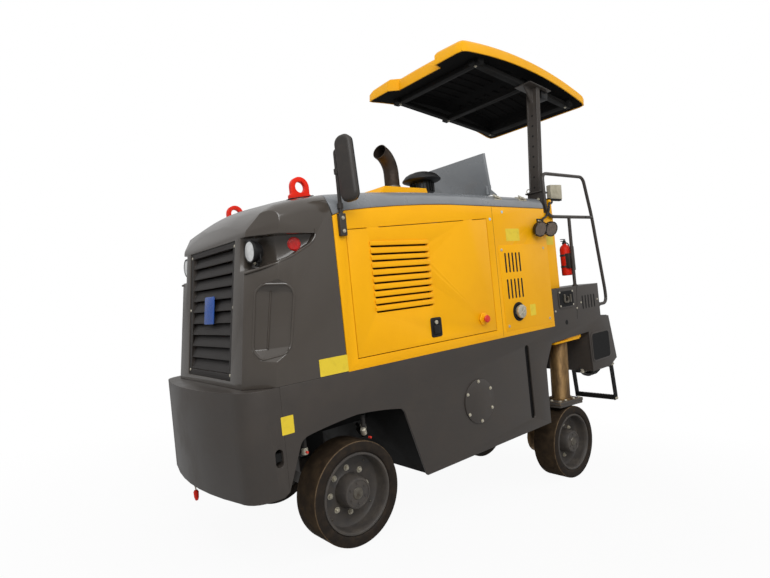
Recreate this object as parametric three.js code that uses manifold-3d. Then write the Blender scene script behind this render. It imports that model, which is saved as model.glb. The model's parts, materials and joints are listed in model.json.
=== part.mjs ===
// A half-metre cold planer (road milling machine) on four solid-tyred wheels, parked nose-down on its
// extended rear legs. Millimetres, +Z up, the front faces -Y and +X is the machine's left.
// The body is drawn level, with heights measured from level ground under the front wheels; the parked
// group then pitches it about the front axle until the rear wheels stand on the same ground.
import * as THREE from "three";
import { ConvexGeometry } from "three/addons/geometries/ConvexGeometry.js";
import { mergeVertices } from "three/addons/utils/BufferGeometryUtils.js";
import Module from "manifold-3d";

const wasm = await Module();
wasm.setup();

// ---- Driving dimensions -------------------------------------------------------------------------
const seatGap = 0.3; // between pieces that touch
const runGap = 0.6; // radial play of pins, rods and sliding tubes
const halfWidth = 600; // centre line to the outer face of the side frames
const wheelRadius = 290;
const tyreWidth = 200;
const tyreWall = 62; // rubber thickness on the rim
const wheelOuterX = 580; // outer face of each tyre
const frontAxleY = -1007;
const rearAxleY = 1190;
const legExtension = 290; // how far the rear legs are pushed out past level
const legLean = 4; // degrees, top of the leg to the rear

const deckTop = 977; // top of the frame, where covers and panels stand
const skirtBottom = 240;
const framePlate = 15; // side frame plate thickness
const bumperBottom = 425;
const bumperFrontY = -1712; // middle of the bow-shaped bumper
const bumperCornerY = -1640; // where the bow meets the corner arc
const bumperCornerX = 470;
const ballastRearY = -1440;

const noseBaseY = -1582;
const noseFlatHalf = 465; // half width of the flat front face
const noseCornerY = -1457; // where the corner chamfer meets the side
const noseLean = 0.13; // run back per unit of height
const noseFaceTop = 1779;
const hoodSeamY = -1012; // nose cover meets hood and side panels
const roofSeamY = -1036; // the same joint across the roof
const hoodRearY = 1046;
const coverWall = 12; // nose cover and hood sheet
const coverSeam = 4; // visible joint between covers
const sheetFloor = 30; // depth of the pressed pockets

const panelThick = 20;
const doorFrontY = -935;
const doorRearY = 316;
const doorBottom = 1036;
const doorTopFront = 1776;
const doorTopRear = 1847;
const doorGap = 5;

const columnX = 480;
const columnRadius = 75;
const housingRadius = 98;
const housingBottom = 848; // height of the yellow clamp plate
const housingTop = 1258;
const platformRearY = 1917;
const fenderFrontY = 1055;
const fenderRearY = 1780;
const fenderTop = 1277;
const rearBoxFrontY = 1555;
const rearBoxBottom = 517;

const drumY = rearAxleY - wheelRadius - 340; // the housing stays clear of the rear wheels
const drumZ = 175;
const drumCore = 215;
const drumTip = 275; // radius over the cutting picks
const housingMouth = 140; // lower edge of the drum housing
const drumLeftX = -80; // the 500 mm cutter stands flush with the right side
const drumRightX = -578;
const shaftRadius = 78;

const mastX = 480;
const mastY = 1135;
const mastLean = 6.5; // degrees, top of the mast to the rear
const canopyHalf = 560;

const kingpinX = 330;
const steerArm = 150;

// ---- Materials ----------------------------------------------------------------------------------
const paint = (color, roughness = 0.4) =>
  new THREE.MeshStandardMaterial({ color, roughness, metalness: 0.1 });
const yellow = paint("#f0b01a");
const graphite = paint("#4a4645");
const hoodGrey = paint("#7d8083", 0.35);
const red = paint("#c8201c");
const blackPlastic = paint("#1c1c1d", 0.6);
const rubber = paint("#3a322b", 0.85);
const steel = new THREE.MeshStandardMaterial({ color: "#7a7468", roughness: 0.45, metalness: 0.8 });
const wornSteel = new THREE.MeshStandardMaterial({ color: "#5a4d3f", roughness: 0.55, metalness: 0.7 });
const beige = paint("#b7b09b");
const glass = new THREE.MeshStandardMaterial({ color: "#e8e8e4", roughness: 0.15, metalness: 0.1 });

// ---- Solids -------------------------------------------------------------------------------------
function welded(geometry) {
  if (geometry.userData.welded) return geometry;
  const bare = geometry.clone();
  bare.deleteAttribute("normal");
  bare.deleteAttribute("uv");
  const merged = mergeVertices(bare, 1e-3);
  merged.userData = { welded: true };
  return merged;
}

function solidOf(geometry) {
  const merged = welded(geometry);
  return new wasm.Manifold(
    new wasm.Mesh({
      numProp: 3,
      vertProperties: new Float32Array(merged.attributes.position.array),
      triVerts: new Uint32Array(merged.index.array),
    }),
  );
}

function geometryOf(solid) {
  const mesh = solid.getMesh();
  const geometry = new THREE.BufferGeometry();
  geometry.setAttribute("position", new THREE.BufferAttribute(mesh.vertProperties, 3));
  geometry.setIndex(new THREE.BufferAttribute(mesh.triVerts, 1));
  geometry.userData = { welded: true };
  return geometry;
}

const join = (...parts) => geometryOf(parts.map(solidOf).reduce((a, b) => a.add(b)));
const cut = (body, ...tools) => geometryOf(tools.map(solidOf).reduce((a, b) => a.subtract(b), solidOf(body)));
const common = (...parts) => geometryOf(parts.map(solidOf).reduce((a, b) => a.intersect(b)));

// A box between two opposite corners.
function block(x0, x1, y0, y1, z0, z1) {
  const geometry = new THREE.BoxGeometry(x1 - x0, y1 - y0, z1 - z0);
  return geometry.translate((x0 + x1) / 2, (y0 + y1) / 2, (z0 + z1) / 2);
}

// A round bar from one point to another.
function bar(from, to, radius, sides = 20, endRadius = radius) {
  const start = new THREE.Vector3(...from);
  const run = new THREE.Vector3(...to).sub(start);
  const geometry = new THREE.CylinderGeometry(endRadius, radius, run.length(), sides);
  const turn = new THREE.Quaternion().setFromUnitVectors(new THREE.Vector3(0, 1, 0), run.clone().normalize());
  return geometry.applyQuaternion(turn).translate(...start.addScaledVector(run, 0.5));
}

function shapeOf(points) {
  return new THREE.Shape(points.map(([a, b]) => new THREE.Vector2(a, b)));
}

// A side-view outline of (y, z) points, extruded from x0 to x1.
function alongX(shape, x0, x1, curveSegments = 8) {
  const geometry = new THREE.ExtrudeGeometry(shape, { depth: x1 - x0, bevelEnabled: false, curveSegments });
  const axes = new THREE.Matrix4().makeBasis(
    new THREE.Vector3(0, 1, 0),
    new THREE.Vector3(0, 0, 1),
    new THREE.Vector3(1, 0, 0),
  );
  return geometry.applyMatrix4(axes).translate(x0, 0, 0);
}

// A plan outline of (x, y) points, extruded from z0 to z1.
function alongZ(shape, z0, z1, curveSegments = 8) {
  const geometry = new THREE.ExtrudeGeometry(shape, { depth: z1 - z0, bevelEnabled: false, curveSegments });
  return geometry.translate(0, 0, z0);
}

// A front-view outline of (x, z) points, extruded from y0 to y1.
function alongY(shape, y0, y1, curveSegments = 8) {
  const geometry = new THREE.ExtrudeGeometry(shape, { depth: y1 - y0, bevelEnabled: false, curveSegments });
  return geometry.rotateX(Math.PI / 2).translate(0, y1, 0);
}

// A lathe profile in the order that makes its faces point out.
function latheProfile(profile) {
  const points = profile.map(([radius, at]) => new THREE.Vector2(radius, at));
  return THREE.ShapeUtils.area(points) < 0 ? points.reverse() : points;
}

// A closed profile of (radius, x) points turned about the X axis.
function turned(profile, segments = 40) {
  const points = latheProfile(profile);
  return new THREE.LatheGeometry(points, segments).rotateZ(-Math.PI / 2);
}

// The same about the Z axis.
function turnedUp(profile, segments = 32) {
  const points = latheProfile(profile);
  return new THREE.LatheGeometry(points, segments).rotateX(Math.PI / 2);
}

// A slot with round ends as a hole or a shape, centred on (a, b).
function slot(a, b, length, width, upright = false) {
  const radius = width / 2;
  const reach = length / 2 - radius;
  const path = new THREE.Shape();
  if (upright) {
    path.absarc(a, b + reach, radius, 0, Math.PI, false);
    path.absarc(a, b - reach, radius, Math.PI, Math.PI * 2, false);
  } else {
    path.absarc(a + reach, b, radius, -Math.PI / 2, Math.PI / 2, false);
    path.absarc(a - reach, b, radius, Math.PI / 2, Math.PI * 1.5, false);
  }
  path.closePath();
  return path;
}

// A round tube bent along straight runs with filleted corners.
function bentTube(points, radius, bend, sides = 7) {
  const corners = points.map((p) => new THREE.Vector3(...p));
  const path = new THREE.CurvePath();
  let from = corners[0];
  for (let i = 1; i < corners.length - 1; i += 1) {
    const before = corners[i].clone().add(from.clone().sub(corners[i]).setLength(bend));
    const after = corners[i].clone().add(corners[i + 1].clone().sub(corners[i]).setLength(bend));
    path.add(new THREE.LineCurve3(from, before));
    path.add(new THREE.QuadraticBezierCurve3(before, corners[i], after));
    from = after;
  }
  path.add(new THREE.LineCurve3(from, corners[corners.length - 1]));
  const stations = [];
  path.curves.forEach((curve) => {
    const steps = curve.isLineCurve3 ? 1 : 2;
    curve.getPoints(steps).forEach((p) => {
      if (!stations.length || stations[stations.length - 1].distanceTo(p) > 0.5) stations.push(p);
    });
  });
  return sweep(stations, radius, sides);
}

// A closed tube through the stations, each ring square to its path.
function sweep(stations, radius, sides) {
  const rings = [];
  let side = null;
  stations.forEach((p, i) => {
    const ahead = stations[Math.min(i + 1, stations.length - 1)];
    const behind = stations[Math.max(i - 1, 0)];
    const tangent = ahead.clone().sub(behind).normalize();
    if (!side) side = Math.abs(tangent.x) < 0.9 ? new THREE.Vector3(1, 0, 0) : new THREE.Vector3(0, 1, 0);
    side = side.clone().addScaledVector(tangent, -side.dot(tangent)).normalize();
    const up = tangent.clone().cross(side);
    const ring = [];
    for (let k = 0; k < sides; k += 1) {
      const a = (k / sides) * Math.PI * 2;
      ring.push(p.clone().addScaledVector(side, radius * Math.cos(a)).addScaledVector(up, radius * Math.sin(a)));
    }
    rings.push(ring);
  });
  return loft(rings);
}

// Skin over closed rings with the same number of points, with flat caps at both ends.
function loft(rings) {
  const count = rings[0].length;
  const positions = rings.flat().flatMap((p) => [p.x, p.y, p.z]);
  const index = [];
  for (let r = 0; r < rings.length - 1; r += 1) {
    for (let k = 0; k < count; k += 1) {
      const a = r * count + k;
      const b = r * count + ((k + 1) % count);
      index.push(a, b, a + count, b, b + count, a + count);
    }
  }
  const cap = (ring) => {
    const origin = ring[0];
    const u = ring[1].clone().sub(origin).normalize();
    const normal = new THREE.Vector3();
    ring.forEach((p, i) => normal.add(p.clone().cross(ring[(i + 1) % count])));
    normal.normalize();
    const v = normal.clone().cross(u);
    const flat = ring.map((p) => new THREE.Vector2(p.clone().sub(origin).dot(u), p.clone().sub(origin).dot(v)));
    return THREE.ShapeUtils.triangulateShape(flat, []);
  };
  cap(rings[0]).forEach(([a, b, c]) => index.push(a, c, b));
  const last = (rings.length - 1) * count;
  cap(rings[rings.length - 1]).forEach(([a, b, c]) => index.push(last + a, last + b, last + c));
  const geometry = new THREE.BufferGeometry();
  geometry.setAttribute("position", new THREE.Float32BufferAttribute(positions, 3));
  geometry.setIndex(index);
  return geometry;
}

// The mirror image across the middle plane, with its faces turned back to point out.
function mirrored(geometry) {
  const copy = welded(geometry).clone().scale(-1, 1, 1);
  const corners = copy.index.array;
  for (let i = 0; i < corners.length; i += 3) [corners[i + 1], corners[i + 2]] = [corners[i + 2], corners[i + 1]];
  return copy;
}

function add(parent, name, geometry, material) {
  const mesh = new THREE.Mesh(geometry, material);
  mesh.name = name;
  parent.add(mesh);
  return mesh;
}

// A piece drawn for the left side, and its mirror image on the right.
function addPair(parent, name, geometry, material) {
  add(parent, `${name}_left`, geometry, material);
  add(parent, `${name}_right`, mirrored(geometry), material);
}

// ---- The level body and the parked group --------------------------------------------------------
const machine = new THREE.Group();
const parked = new THREE.Group();
const body = new THREE.Group();
machine.add(parked);
parked.add(body);
const pitch = Math.atan2(legExtension, rearAxleY - frontAxleY);
parked.position.set(0, frontAxleY, wheelRadius);
parked.rotation.x = pitch;
body.position.set(0, -frontAxleY, -wheelRadius);

// Legs share a frame that leans back and has its origin between the rear wheel centres.
const legs = new THREE.Group();
legs.position.set(0, rearAxleY, wheelRadius - legExtension);
legs.rotation.x = -THREE.MathUtils.degToRad(legLean);
body.add(legs);

// ---- Roof line shared by nose cover and hood ----------------------------------------------------
const roofStations = [
  [-1600, 1700],
  [-1478, 1779],
  [-1412, 1874],
  [-1343, 1918],
  [-1191, 1958],
  [-1012, 1985],
  [-700, 2010],
  [-300, 2026],
  [100, 2032],
  [1060, 2026],
];
const seamStations = [
  [-1100, 1848],
  [-1012, 1852],
  [-922, 1881],
  [-736, 1900],
  [-530, 1916],
  [-292, 1929],
  [-47, 1936],
  [1060, 1929],
];
const roofCrown = 34; // rise of the middle of the roof over its shoulders
const shoulder = 88; // radius of the roof's long edges

// Rise of the crowned roof at x over its shoulders.
const crownAt = (x) => roofCrown * (1 - (x / (halfWidth - shoulder)) ** 2);

// Height of a stepped outline at y.
function along(stations, y) {
  const next = stations.findIndex(([at]) => at >= y);
  if (next === 0) return stations[0][1];
  if (next < 0) return stations[stations.length - 1][1];
  const [y0, z0] = stations[next - 1];
  const [y1, z1] = stations[next];
  return z0 + ((z1 - z0) * (y - y0)) / (y1 - y0);
}

// One cross-section of the covers: straight sides, round shoulders and a slightly crowned roof.
function roofRing(y, inset, floor) {
  const top = along(roofStations, y) - inset;
  const half = halfWidth - inset;
  const radius = shoulder - inset / 2;
  const ring = [];
  const steps = 6;
  for (let i = 0; i <= steps; i += 1) {
    const a = (i / steps) * (Math.PI / 2);
    const x = half - radius + radius * Math.cos(a);
    const z = top - radius + radius * Math.sin(a);
    ring.push([x, z]);
  }
  const middle = [0.75, 0.5, 0.25].map((f) => [f * (half - radius), top + roofCrown * (1 - f * f)]);
  const right = [[half, floor], ...ring, ...middle];
  const left = right.map(([x, z]) => [-x, z]).reverse();
  return [...right, [0, top + roofCrown], ...left].map(([x, z]) => new THREE.Vector3(x, y, z));
}

const roofBody = (y0, y1, inset, floor) => {
  const between = roofStations.map(([y]) => y).filter((y) => y > y0 && y < y1);
  return loft([y0, ...between, y1].reverse().map((y) => roofRing(y, inset, floor)));
};

// ---- Front: ballast bumper, nose cover, grille, lamps -------------------------------------------
function bumperPlan(inset = 0) {
  const x = halfWidth - inset;
  const shape = new THREE.Shape();
  shape.moveTo(x, ballastRearY);
  shape.lineTo(-x, ballastRearY);
  shape.lineTo(-x, noseCornerY - 40);
  shape.quadraticCurveTo(-x, bumperCornerY, -bumperCornerX, bumperCornerY - 12);
  shape.quadraticCurveTo(0, 2 * bumperFrontY - bumperCornerY + 12, bumperCornerX, bumperCornerY - 12);
  shape.quadraticCurveTo(x, bumperCornerY, x, noseCornerY - 40);
  return shape;
}

// Flat-sided ballast with tie-down pockets in its sides and a chamfered lower rear edge.
function bumper() {
  const pocket = alongX(slot(-1478, 625, 92, 44, true), halfWidth - 60, halfWidth + 10, 5);
  const heel = alongX(
    shapeOf([
      [ballastRearY - 47, bumperBottom - 10],
      [ballastRearY + 10, bumperBottom - 10],
      [ballastRearY + 10, bumperBottom + 24],
    ]),
    -halfWidth - 10,
    halfWidth + 10,
  );
  return cut(alongZ(bumperPlan(), bumperBottom, deckTop - seatGap, 7), pocket, mirrored(pocket), heel);
}

function noseSide(forward) {
  return shapeOf([
    [noseBaseY - forward, deckTop],
    [noseBaseY - forward + noseLean * (noseFaceTop - deckTop), noseFaceTop],
    [-1445 - forward / 2, 1862],
    [-1380, 1930 + forward / 4],
    [-1250, 2100],
    [roofSeamY, 2100],
    [roofSeamY, 1925],
    [hoodSeamY - 4, 1850],
    [hoodSeamY, deckTop],
  ]);
}

function nosePlan(inset) {
  const x = halfWidth - inset;
  const rear = -900;
  return shapeOf([
    [x, rear],
    [-x, rear],
    [-x, noseCornerY + inset / 2],
    [-noseFlatHalf + inset / 2, noseBaseY + inset],
    [noseFlatHalf - inset / 2, noseBaseY + inset],
    [x, noseCornerY + inset / 2],
  ]);
}

// Plan outline carried up with the lean of the front face.
function leaning(geometry) {
  const shear = new THREE.Matrix4().set(1, 0, 0, 0, 0, 1, noseLean, -noseLean * deckTop, 0, 0, 1, 0, 0, 0, 0, 1);
  return geometry.applyMatrix4(shear);
}

const grilleHalfTop = 338;
const grilleHalfBottom = 318;
const grilleBottom = 1012;
const grilleTop = 1755;
const grilleDepth = 38;

const grilleOutline = (grow) =>
  shapeOf([
    [-grilleHalfBottom - grow, grilleBottom - grow],
    [grilleHalfBottom + grow, grilleBottom - grow],
    [grilleHalfTop + grow, grilleTop + grow],
    [-grilleHalfTop - grow, grilleTop + grow],
  ]);

const noseFaceY = (z) => noseBaseY + noseLean * (z - deckTop);

function noseCover() {
  const height = 1300;
  const outer = common(
    roofBody(-1600, hoodSeamY + 2, 0, deckTop),
    alongX(noseSide(0), -halfWidth - 5, halfWidth + 5),
    leaning(alongZ(nosePlan(0), deckTop, deckTop + height)),
  );
  const inner = common(
    roofBody(-1600, hoodSeamY + 20, coverWall, deckTop - 5),
    alongX(
      shapeOf([
        [noseBaseY + coverWall, deckTop - 5],
        [noseFaceY(noseFaceTop) + coverWall, noseFaceTop],
        [-1430, 1848],
        [-1370, 1914],
        [-1250, 2085],
        [-900, 2085],
        [-900, deckTop - 5],
      ]),
      -halfWidth,
      halfWidth,
    ),
    leaning(alongZ(nosePlan(coverWall), deckTop - 5, deckTop + height)),
  );
  const lampBay = lampRecess(0);
  const lampWall = lampRecess(coverWall);
  const stamping = sidePocket(0);
  const stampingWall = sidePocket(coverWall);
  const opening = alongY(grilleOutline(seatGap), -1700, -1300);
  const hollow = cut(inner, lampWall, mirrored(lampWall), stampingWall, mirrored(stampingWall));
  return cut(outer, hollow, opening, lampBay, mirrored(lampBay), stamping, mirrored(stamping));
}

const bayFloor = [
  [-1620, 1565],
  [-1440, 1590],
  [-1280, 1640],
];

// The wedge-shaped bay in the upper front corner that holds the headlamp and the side lamp.
function lampRecess(grow) {
  const wedge = shapeOf([
    ...bayFloor.map(([y, z]) => [y, z - grow]),
    [-1165 + grow, 1705],
    [-1130 + grow, 1758 + grow],
    [-1620, 1758 + grow],
  ]);
  const reach = alongX(wedge, 400 - grow, halfWidth + 40);
  const plan = shapeOf([
    [408 - grow, -1620],
    [408 - grow, -1395 + grow],
    [500 - grow, -1330 + grow],
    [560 - grow, -1120 + grow],
    [halfWidth + 60, -1100 + grow],
    [halfWidth + 60, -1620],
  ]);
  return common(reach, alongZ(plan, 1500, 1800));
}

// The tall pocket pressed across the front corner below the lamps. Its rim runs over the corner; a steep
// wall and a floor that runs out to the side meet in a fold. X is measured in from the side plates.
const pocketRim = [
  [93, -1476, 1472],
  [61, -1443, 1506],
  [0, -1334, 1496],
  [0, -1301, 1448],
  [0, -1350, 1172],
  [0, -1386, 1134],
  [60, -1494, 1116],
  [98, -1520, 1172],
];
const pocketFold = [
  [80, -1388, 1464],
  [87, -1436, 1166],
];

function sidePocket(grow) {
  const place = ([x, y, z]) => new THREE.Vector3(halfWidth - x, y, z);
  const fold = pocketFold.map(place);
  const middle = fold[0].clone().lerp(fold[1], 0.5);
  const inward = new THREE.Vector3(-1.2, 0.6, 0).multiplyScalar(grow);
  const rim = pocketRim.map(place).map((point) => {
    const near = point.z > middle.z ? fold[0] : fold[1];
    const spread = point.clone().sub(middle).setLength(grow * 1.4);
    return near.clone().add(point.sub(near).multiplyScalar(1.6)).add(spread);
  });
  const folds = fold.map((point, i) => point.add(inward).add(new THREE.Vector3(0, 0, i ? -grow : grow)));
  return new ConvexGeometry([...rim, ...folds]);
}

function grille() {
  const front = noseBaseY + 6;
  const frame = alongY(grilleOutline(0), front, front + grilleDepth);
  const window = alongY(grilleOutline(-34), front - 5, front + grilleDepth + 5);
  const slats = [];
  const slatCount = 10;
  const pitchZ = (grilleTop - grilleBottom - 68) / slatCount;
  for (let i = 0; i < slatCount; i += 1) {
    const z = grilleBottom + 34 + i * pitchZ;
    const blade = shapeOf([
      [front + 4, z + 4],
      [front + 10, z],
      [front + grilleDepth - 2, z + pitchZ * 0.86],
      [front + grilleDepth - 8, z + pitchZ * 0.92],
    ]);
    slats.push(alongX(blade, -grilleHalfTop + 10, grilleHalfTop - 10));
  }
  const bars = common(join(...slats), alongY(grilleOutline(-20), front - 50, front + grilleDepth + 50));
  return leaning(join(cut(frame, window), bars));
}

const lampX = 471;
const lampY = -1452;
const lampZ = 1680;
const lampRadius = 61;

// A round headlamp on a short bracket foot that stands on the floor of its bay.
function headlamp() {
  const shell = turned(
    [
      [0, 46],
      [lampRadius - 22, 46],
      [lampRadius - 4, 14],
      [lampRadius, 0],
      [lampRadius, -14],
      [lampRadius - 5, -18],
      [0, -18],
    ],
    18,
  ).rotateZ(Math.PI / 2);
  shell.translate(lampX, lampY, lampZ);
  const [y0, y1] = [lampY + 12, lampY + 34];
  const foot = shapeOf([
    [y0, along(bayFloor, y0) + seatGap],
    [y1, along(bayFloor, y1) + seatGap],
    [y1, lampZ - 30],
    [y0, lampZ - 30],
  ]);
  return join(shell, alongX(foot, lampX - 16, lampX + 16));
}

function liftingEye() {
  const plate = new THREE.Shape();
  const [halfFoot, ring, bore, rise] = [70, 58, 32, 60];
  plate.moveTo(-halfFoot, -40);
  plate.lineTo(halfFoot, -40);
  plate.lineTo(halfFoot, 12);
  plate.lineTo(ring, 22);
  plate.lineTo(ring, rise);
  plate.absarc(0, rise, ring, 0, Math.PI, false);
  plate.lineTo(-ring, 22);
  plate.lineTo(-halfFoot, 12);
  const hole = new THREE.Path();
  hole.absarc(0, rise, bore, 0, Math.PI * 2, true);
  plate.holes.push(hole);
  const eyeX = 440;
  const eyeY = -1112;
  const seat = along(roofStations, eyeY) + crownAt(eyeX);
  const raised = alongX(plate, eyeX - 14, eyeX + 14, 10).translate(0, eyeY, seat);
  return cut(raised, roofBody(eyeY - 150, eyeY + 150, -seatGap - 0.2, 1800));
}

add(body, "front_bumper", bumper(), graphite);
add(body, "nose_cover", noseCover(), graphite);
add(body, "grille", grille(), graphite);
addPair(body, "headlamp", headlamp(), glass);
addPair(body, "lifting_eye", liftingEye(), red);

// ---- Side frames, deck and bulkheads ------------------------------------------------------------
// One profile-cut plate a side: wheel arch, skirt, a notch for the leg, rear box and fender side.
function sideFrame() {
  const outline = new THREE.Shape();
  outline.moveTo(ballastRearY + seatGap, deckTop - seatGap);
  outline.lineTo(ballastRearY + seatGap, 437);
  outline.lineTo(-1352, 655);
  outline.quadraticCurveTo(-1340, 684, -1301, 695);
  outline.quadraticCurveTo(-1157, 719, -984, 731);
  outline.quadraticCurveTo(-838, 726, -668, 694);
  outline.quadraticCurveTo(-640, 688, -628, 665);
  outline.lineTo(-500, 249);
  outline.lineTo(-490, skirtBottom);
  outline.lineTo(863, skirtBottom);
  outline.lineTo(875, 680);
  outline.lineTo(980, housingBottom - seatGap);
  outline.lineTo(rearBoxFrontY, housingBottom + 20);
  outline.lineTo(rearBoxFrontY + 8, rearBoxBottom);
  outline.lineTo(1868, rearBoxBottom);
  outline.lineTo(1996, 573);
  outline.lineTo(platformRearY, deckTop - 5);
  outline.lineTo(fenderRearY, deckTop + 5);
  outline.lineTo(fenderRearY, fenderTop);
  outline.lineTo(fenderFrontY, fenderTop);
  outline.lineTo(hoodRearY + 5, deckTop - seatGap);
  outline.holes.push(slot(642, 605, 555, 50, true));
  return alongX(outline, halfWidth - framePlate, halfWidth, 6);
}

const innerHalf = halfWidth - framePlate - seatGap;
const deckThick = 22;

// Deck plate, centre spine, arch bulkhead and drum bay crossmember, welded as one.
function frameDeck() {
  const under = deckTop - seatGap - deckThick;
  const plate = block(-innerHalf, innerHalf, ballastRearY + seatGap, platformRearY - 2, under, deckTop - seatGap);
  const spine = block(-150, 150, ballastRearY + seatGap, -560, 560, under + 2);
  const wall = alongX(
    shapeOf([
      [-618, 675],
      [-490, skirtBottom + 8],
      [-474, skirtBottom + 8],
      [-602, 675],
      [-602, under + 2],
      [-618, under + 2],
    ]),
    -innerHalf,
    innerHalf,
  );
  const trunnion = block(-110, 110, frontAxleY - 90, frontAxleY + 90, 420, 562);
  const columnHoles = [-1, 1].map((side) =>
    bar([side * columnX, legTopY() - 40, under - 60], [side * columnX, legTopY() + 60, under + 200], housingRadius + 26),
  );
  return cut(join(plate, spine, wall, trunnion), ...columnHoles);
}

function legTopY() {
  return rearAxleY + Math.tan(THREE.MathUtils.degToRad(legLean)) * (deckTop - wheelRadius + legExtension);
}

addPair(body, "side_frame", sideFrame(), graphite);
add(body, "frame_deck", frameDeck(), graphite);

// ---- Covers over the engine bay -----------------------------------------------------------------
const lidHalf = 358;
const lidHingeY = 700;
const consoleFloor = 1850;

function hood() {
  const front = hoodSeamY + coverSeam;
  const side = (grow) => {
    const points = seamStations.filter(([y]) => y > front && y < hoodRearY).map(([y, z]) => [y, z + grow]);
    return shapeOf([
      [front - 2, along(seamStations, front) + grow],
      ...points,
      [hoodRearY, along(seamStations, hoodRearY) + grow],
      [hoodRearY, 2120],
      [roofSeamY + coverSeam, 2120],
      [roofSeamY + coverSeam, 1927],
    ]);
  };
  const outer = common(
    roofBody(-1085, hoodRearY, 0, 1700),
    alongX(side(coverSeam), -halfWidth - 5, halfWidth + 5),
  );
  const inner = roofBody(-1100, hoodRearY + 20, coverWall, 1690);
  const consoleHole = block(-lidHalf + 10, lidHalf - 10, lidHingeY + 12, hoodRearY + 20, 1700, 2200);
  return cut(outer, inner, consoleHole);
}

function hoodCover() {
  const [x, y0, y1, foot, top] = [240, -385, 130, 2040, 2132];
  const slab = alongX(
    shapeOf([
      [y0, foot],
      [y1, foot],
      [y1 - 20, top],
      [y0 + 85, top],
    ]),
    -x,
    x,
  );
  const hole = (place, radius) => bar([...place, 1900], [...place, 2300], radius + coverHole);
  const holes = [hole([stackX, stackY], stackRadius), hole([capX, capY], capNeck)];
  return cut(slab, roofBody(y0 - 50, y1 + 50, -seatGap - 0.4, 1900), ...holes);
}

const stackX = 50;
const stackY = -60;
const stackRadius = 57;
const capX = 112;
const capY = 190;
const capNeck = 84;
const coverHole = 12; // clearance of the cover round what stands through it

// Tail pipe with a forward elbow, seated on the hood inside its cover.
function exhaust() {
  const start = new THREE.Vector3(stackX, stackY, along(roofStations, stackY + stackRadius) + roofCrown + seatGap);
  const bendRadius = 150;
  const toward = new THREE.Vector3(0.25, -0.97, 0).normalize();
  const stations = [start];
  const straight = 208;
  const sweepAngle = (72 * Math.PI) / 180;
  const bendStart = start.clone().setZ(start.z + straight);
  const steps = 5;
  for (let i = 0; i <= steps; i += 1) {
    const a = (sweepAngle * i) / steps;
    const p = bendStart.clone().addScaledVector(toward, bendRadius * (1 - Math.cos(a)));
    stations.push(p.setZ(bendStart.z + bendRadius * Math.sin(a)));
  }
  const end = stations[stations.length - 1];
  const tangent = end.clone().sub(stations[stations.length - 2]).normalize();
  stations.push(end.clone().addScaledVector(tangent, 22));
  const bore = stations.map((p) => p.clone());
  bore[bore.length - 1].addScaledVector(tangent, 5);
  return cut(sweep(stations, stackRadius, 12), sweep(bore.slice(1), stackRadius - 5, 12));
}

function intakeCap() {
  const [r, brim] = [150, 136];
  const foot = along(roofStations, capY) + crownAt(capX - capNeck) + seatGap;
  const profile = [
    [0, 0],
    [capNeck, 0],
    [capNeck, brim],
    [r - 22, brim + 8],
    [r, brim + 16],
    [r, brim + 24],
    [r - 30, brim + 58],
    [60, brim + 80],
    [0, brim + 86],
  ];
  return turnedUp(profile, 24).translate(capX, capY, foot);
}

// Fixed side panel: the yellow sheet around the engine door, with rear vents and the filler hole.
function sidePanel() {
  const outline = new THREE.Shape();
  outline.moveTo(hoodSeamY + coverSeam, deckTop);
  outline.lineTo(hoodRearY, deckTop);
  outline.lineTo(hoodRearY, along(seamStations, hoodRearY));
  [...seamStations]
    .filter(([y]) => y > hoodSeamY + 10 && y < hoodRearY - 10)
    .reverse()
    .forEach(([y, z]) => outline.lineTo(y, z));
  outline.lineTo(hoodSeamY + coverSeam - 6, along(seamStations, hoodSeamY));
  const door = new THREE.Path();
  door.moveTo(doorFrontY, doorBottom);
  door.lineTo(doorFrontY, doorTopFront);
  door.lineTo(doorRearY, doorTopRear);
  door.lineTo(doorRearY, doorBottom);
  outline.holes.push(door);
  [1518, 1322].forEach((z) => {
    for (let i = 0; i < 5; i += 1) outline.holes.push(slot(488 + i * 43, z, 148, 18, true));
  });
  const filler = new THREE.Path();
  filler.absarc(588, 1148, 70, 0, Math.PI * 2, true);
  outline.holes.push(filler);
  return join(alongX(outline, halfWidth - panelThick, halfWidth, 2), hoodLedge());
}

// The ledge along the top of a side panel that carries the hood from inside.
function hoodLedge() {
  const stations = [hoodSeamY + 30, ...seamStations.map(([y]) => y).filter((y) => y > -1000 && y < 1000), hoodRearY - 30];
  const strip = shapeOf([
    ...stations.map((y) => [y, along(seamStations, y) - 12]),
    ...stations.reverse().map((y) => [y, along(seamStations, y) + 24]),
  ]);
  const ledge = alongX(strip, halfWidth - panelThick, halfWidth - coverWall);
  return common(ledge, roofBody(hoodSeamY, hoodRearY, coverWall + seatGap, 1700));
}

const louvreHeights = [1289, 1331, 1374, 1416, 1459, 1502, 1545, 1590, 1630, 1676];

// Top-hinged engine door with ten louvre slots and the latch pocket near its lower edge.
function engineDoor() {
  const g = doorGap;
  const slope = (doorTopRear - doorTopFront) / (doorRearY - doorFrontY);
  const top = (y, gap) => [y, doorTopFront + slope * (y - doorFrontY) - gap];
  const hinge = (y) => [top(y + 45, g), top(y + 45, seatGap), top(y - 45, seatGap), top(y - 45, g)];
  const outline = shapeOf([
    [doorFrontY + g, doorBottom + g],
    [doorRearY - g, doorBottom + g],
    top(doorRearY - g, g),
    ...hinge(doorRearY - 200),
    ...hinge(doorFrontY + 200),
    top(doorFrontY + g, g),
  ]);
  louvreHeights.forEach((z) => outline.holes.push(slot(-533, z, 468, 20)));
  outline.holes.push(slot(-293, 1138, 118, 84, true));
  return alongX(outline, halfWidth - panelThick - 4, halfWidth, 2);
}

function engineBlock() {
  return block(-270, 270, -760, 150, deckTop + 40, 1780);
}

const engineFeet = () => block(-200, 200, -700, 90, deckTop, deckTop + 42);

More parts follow.
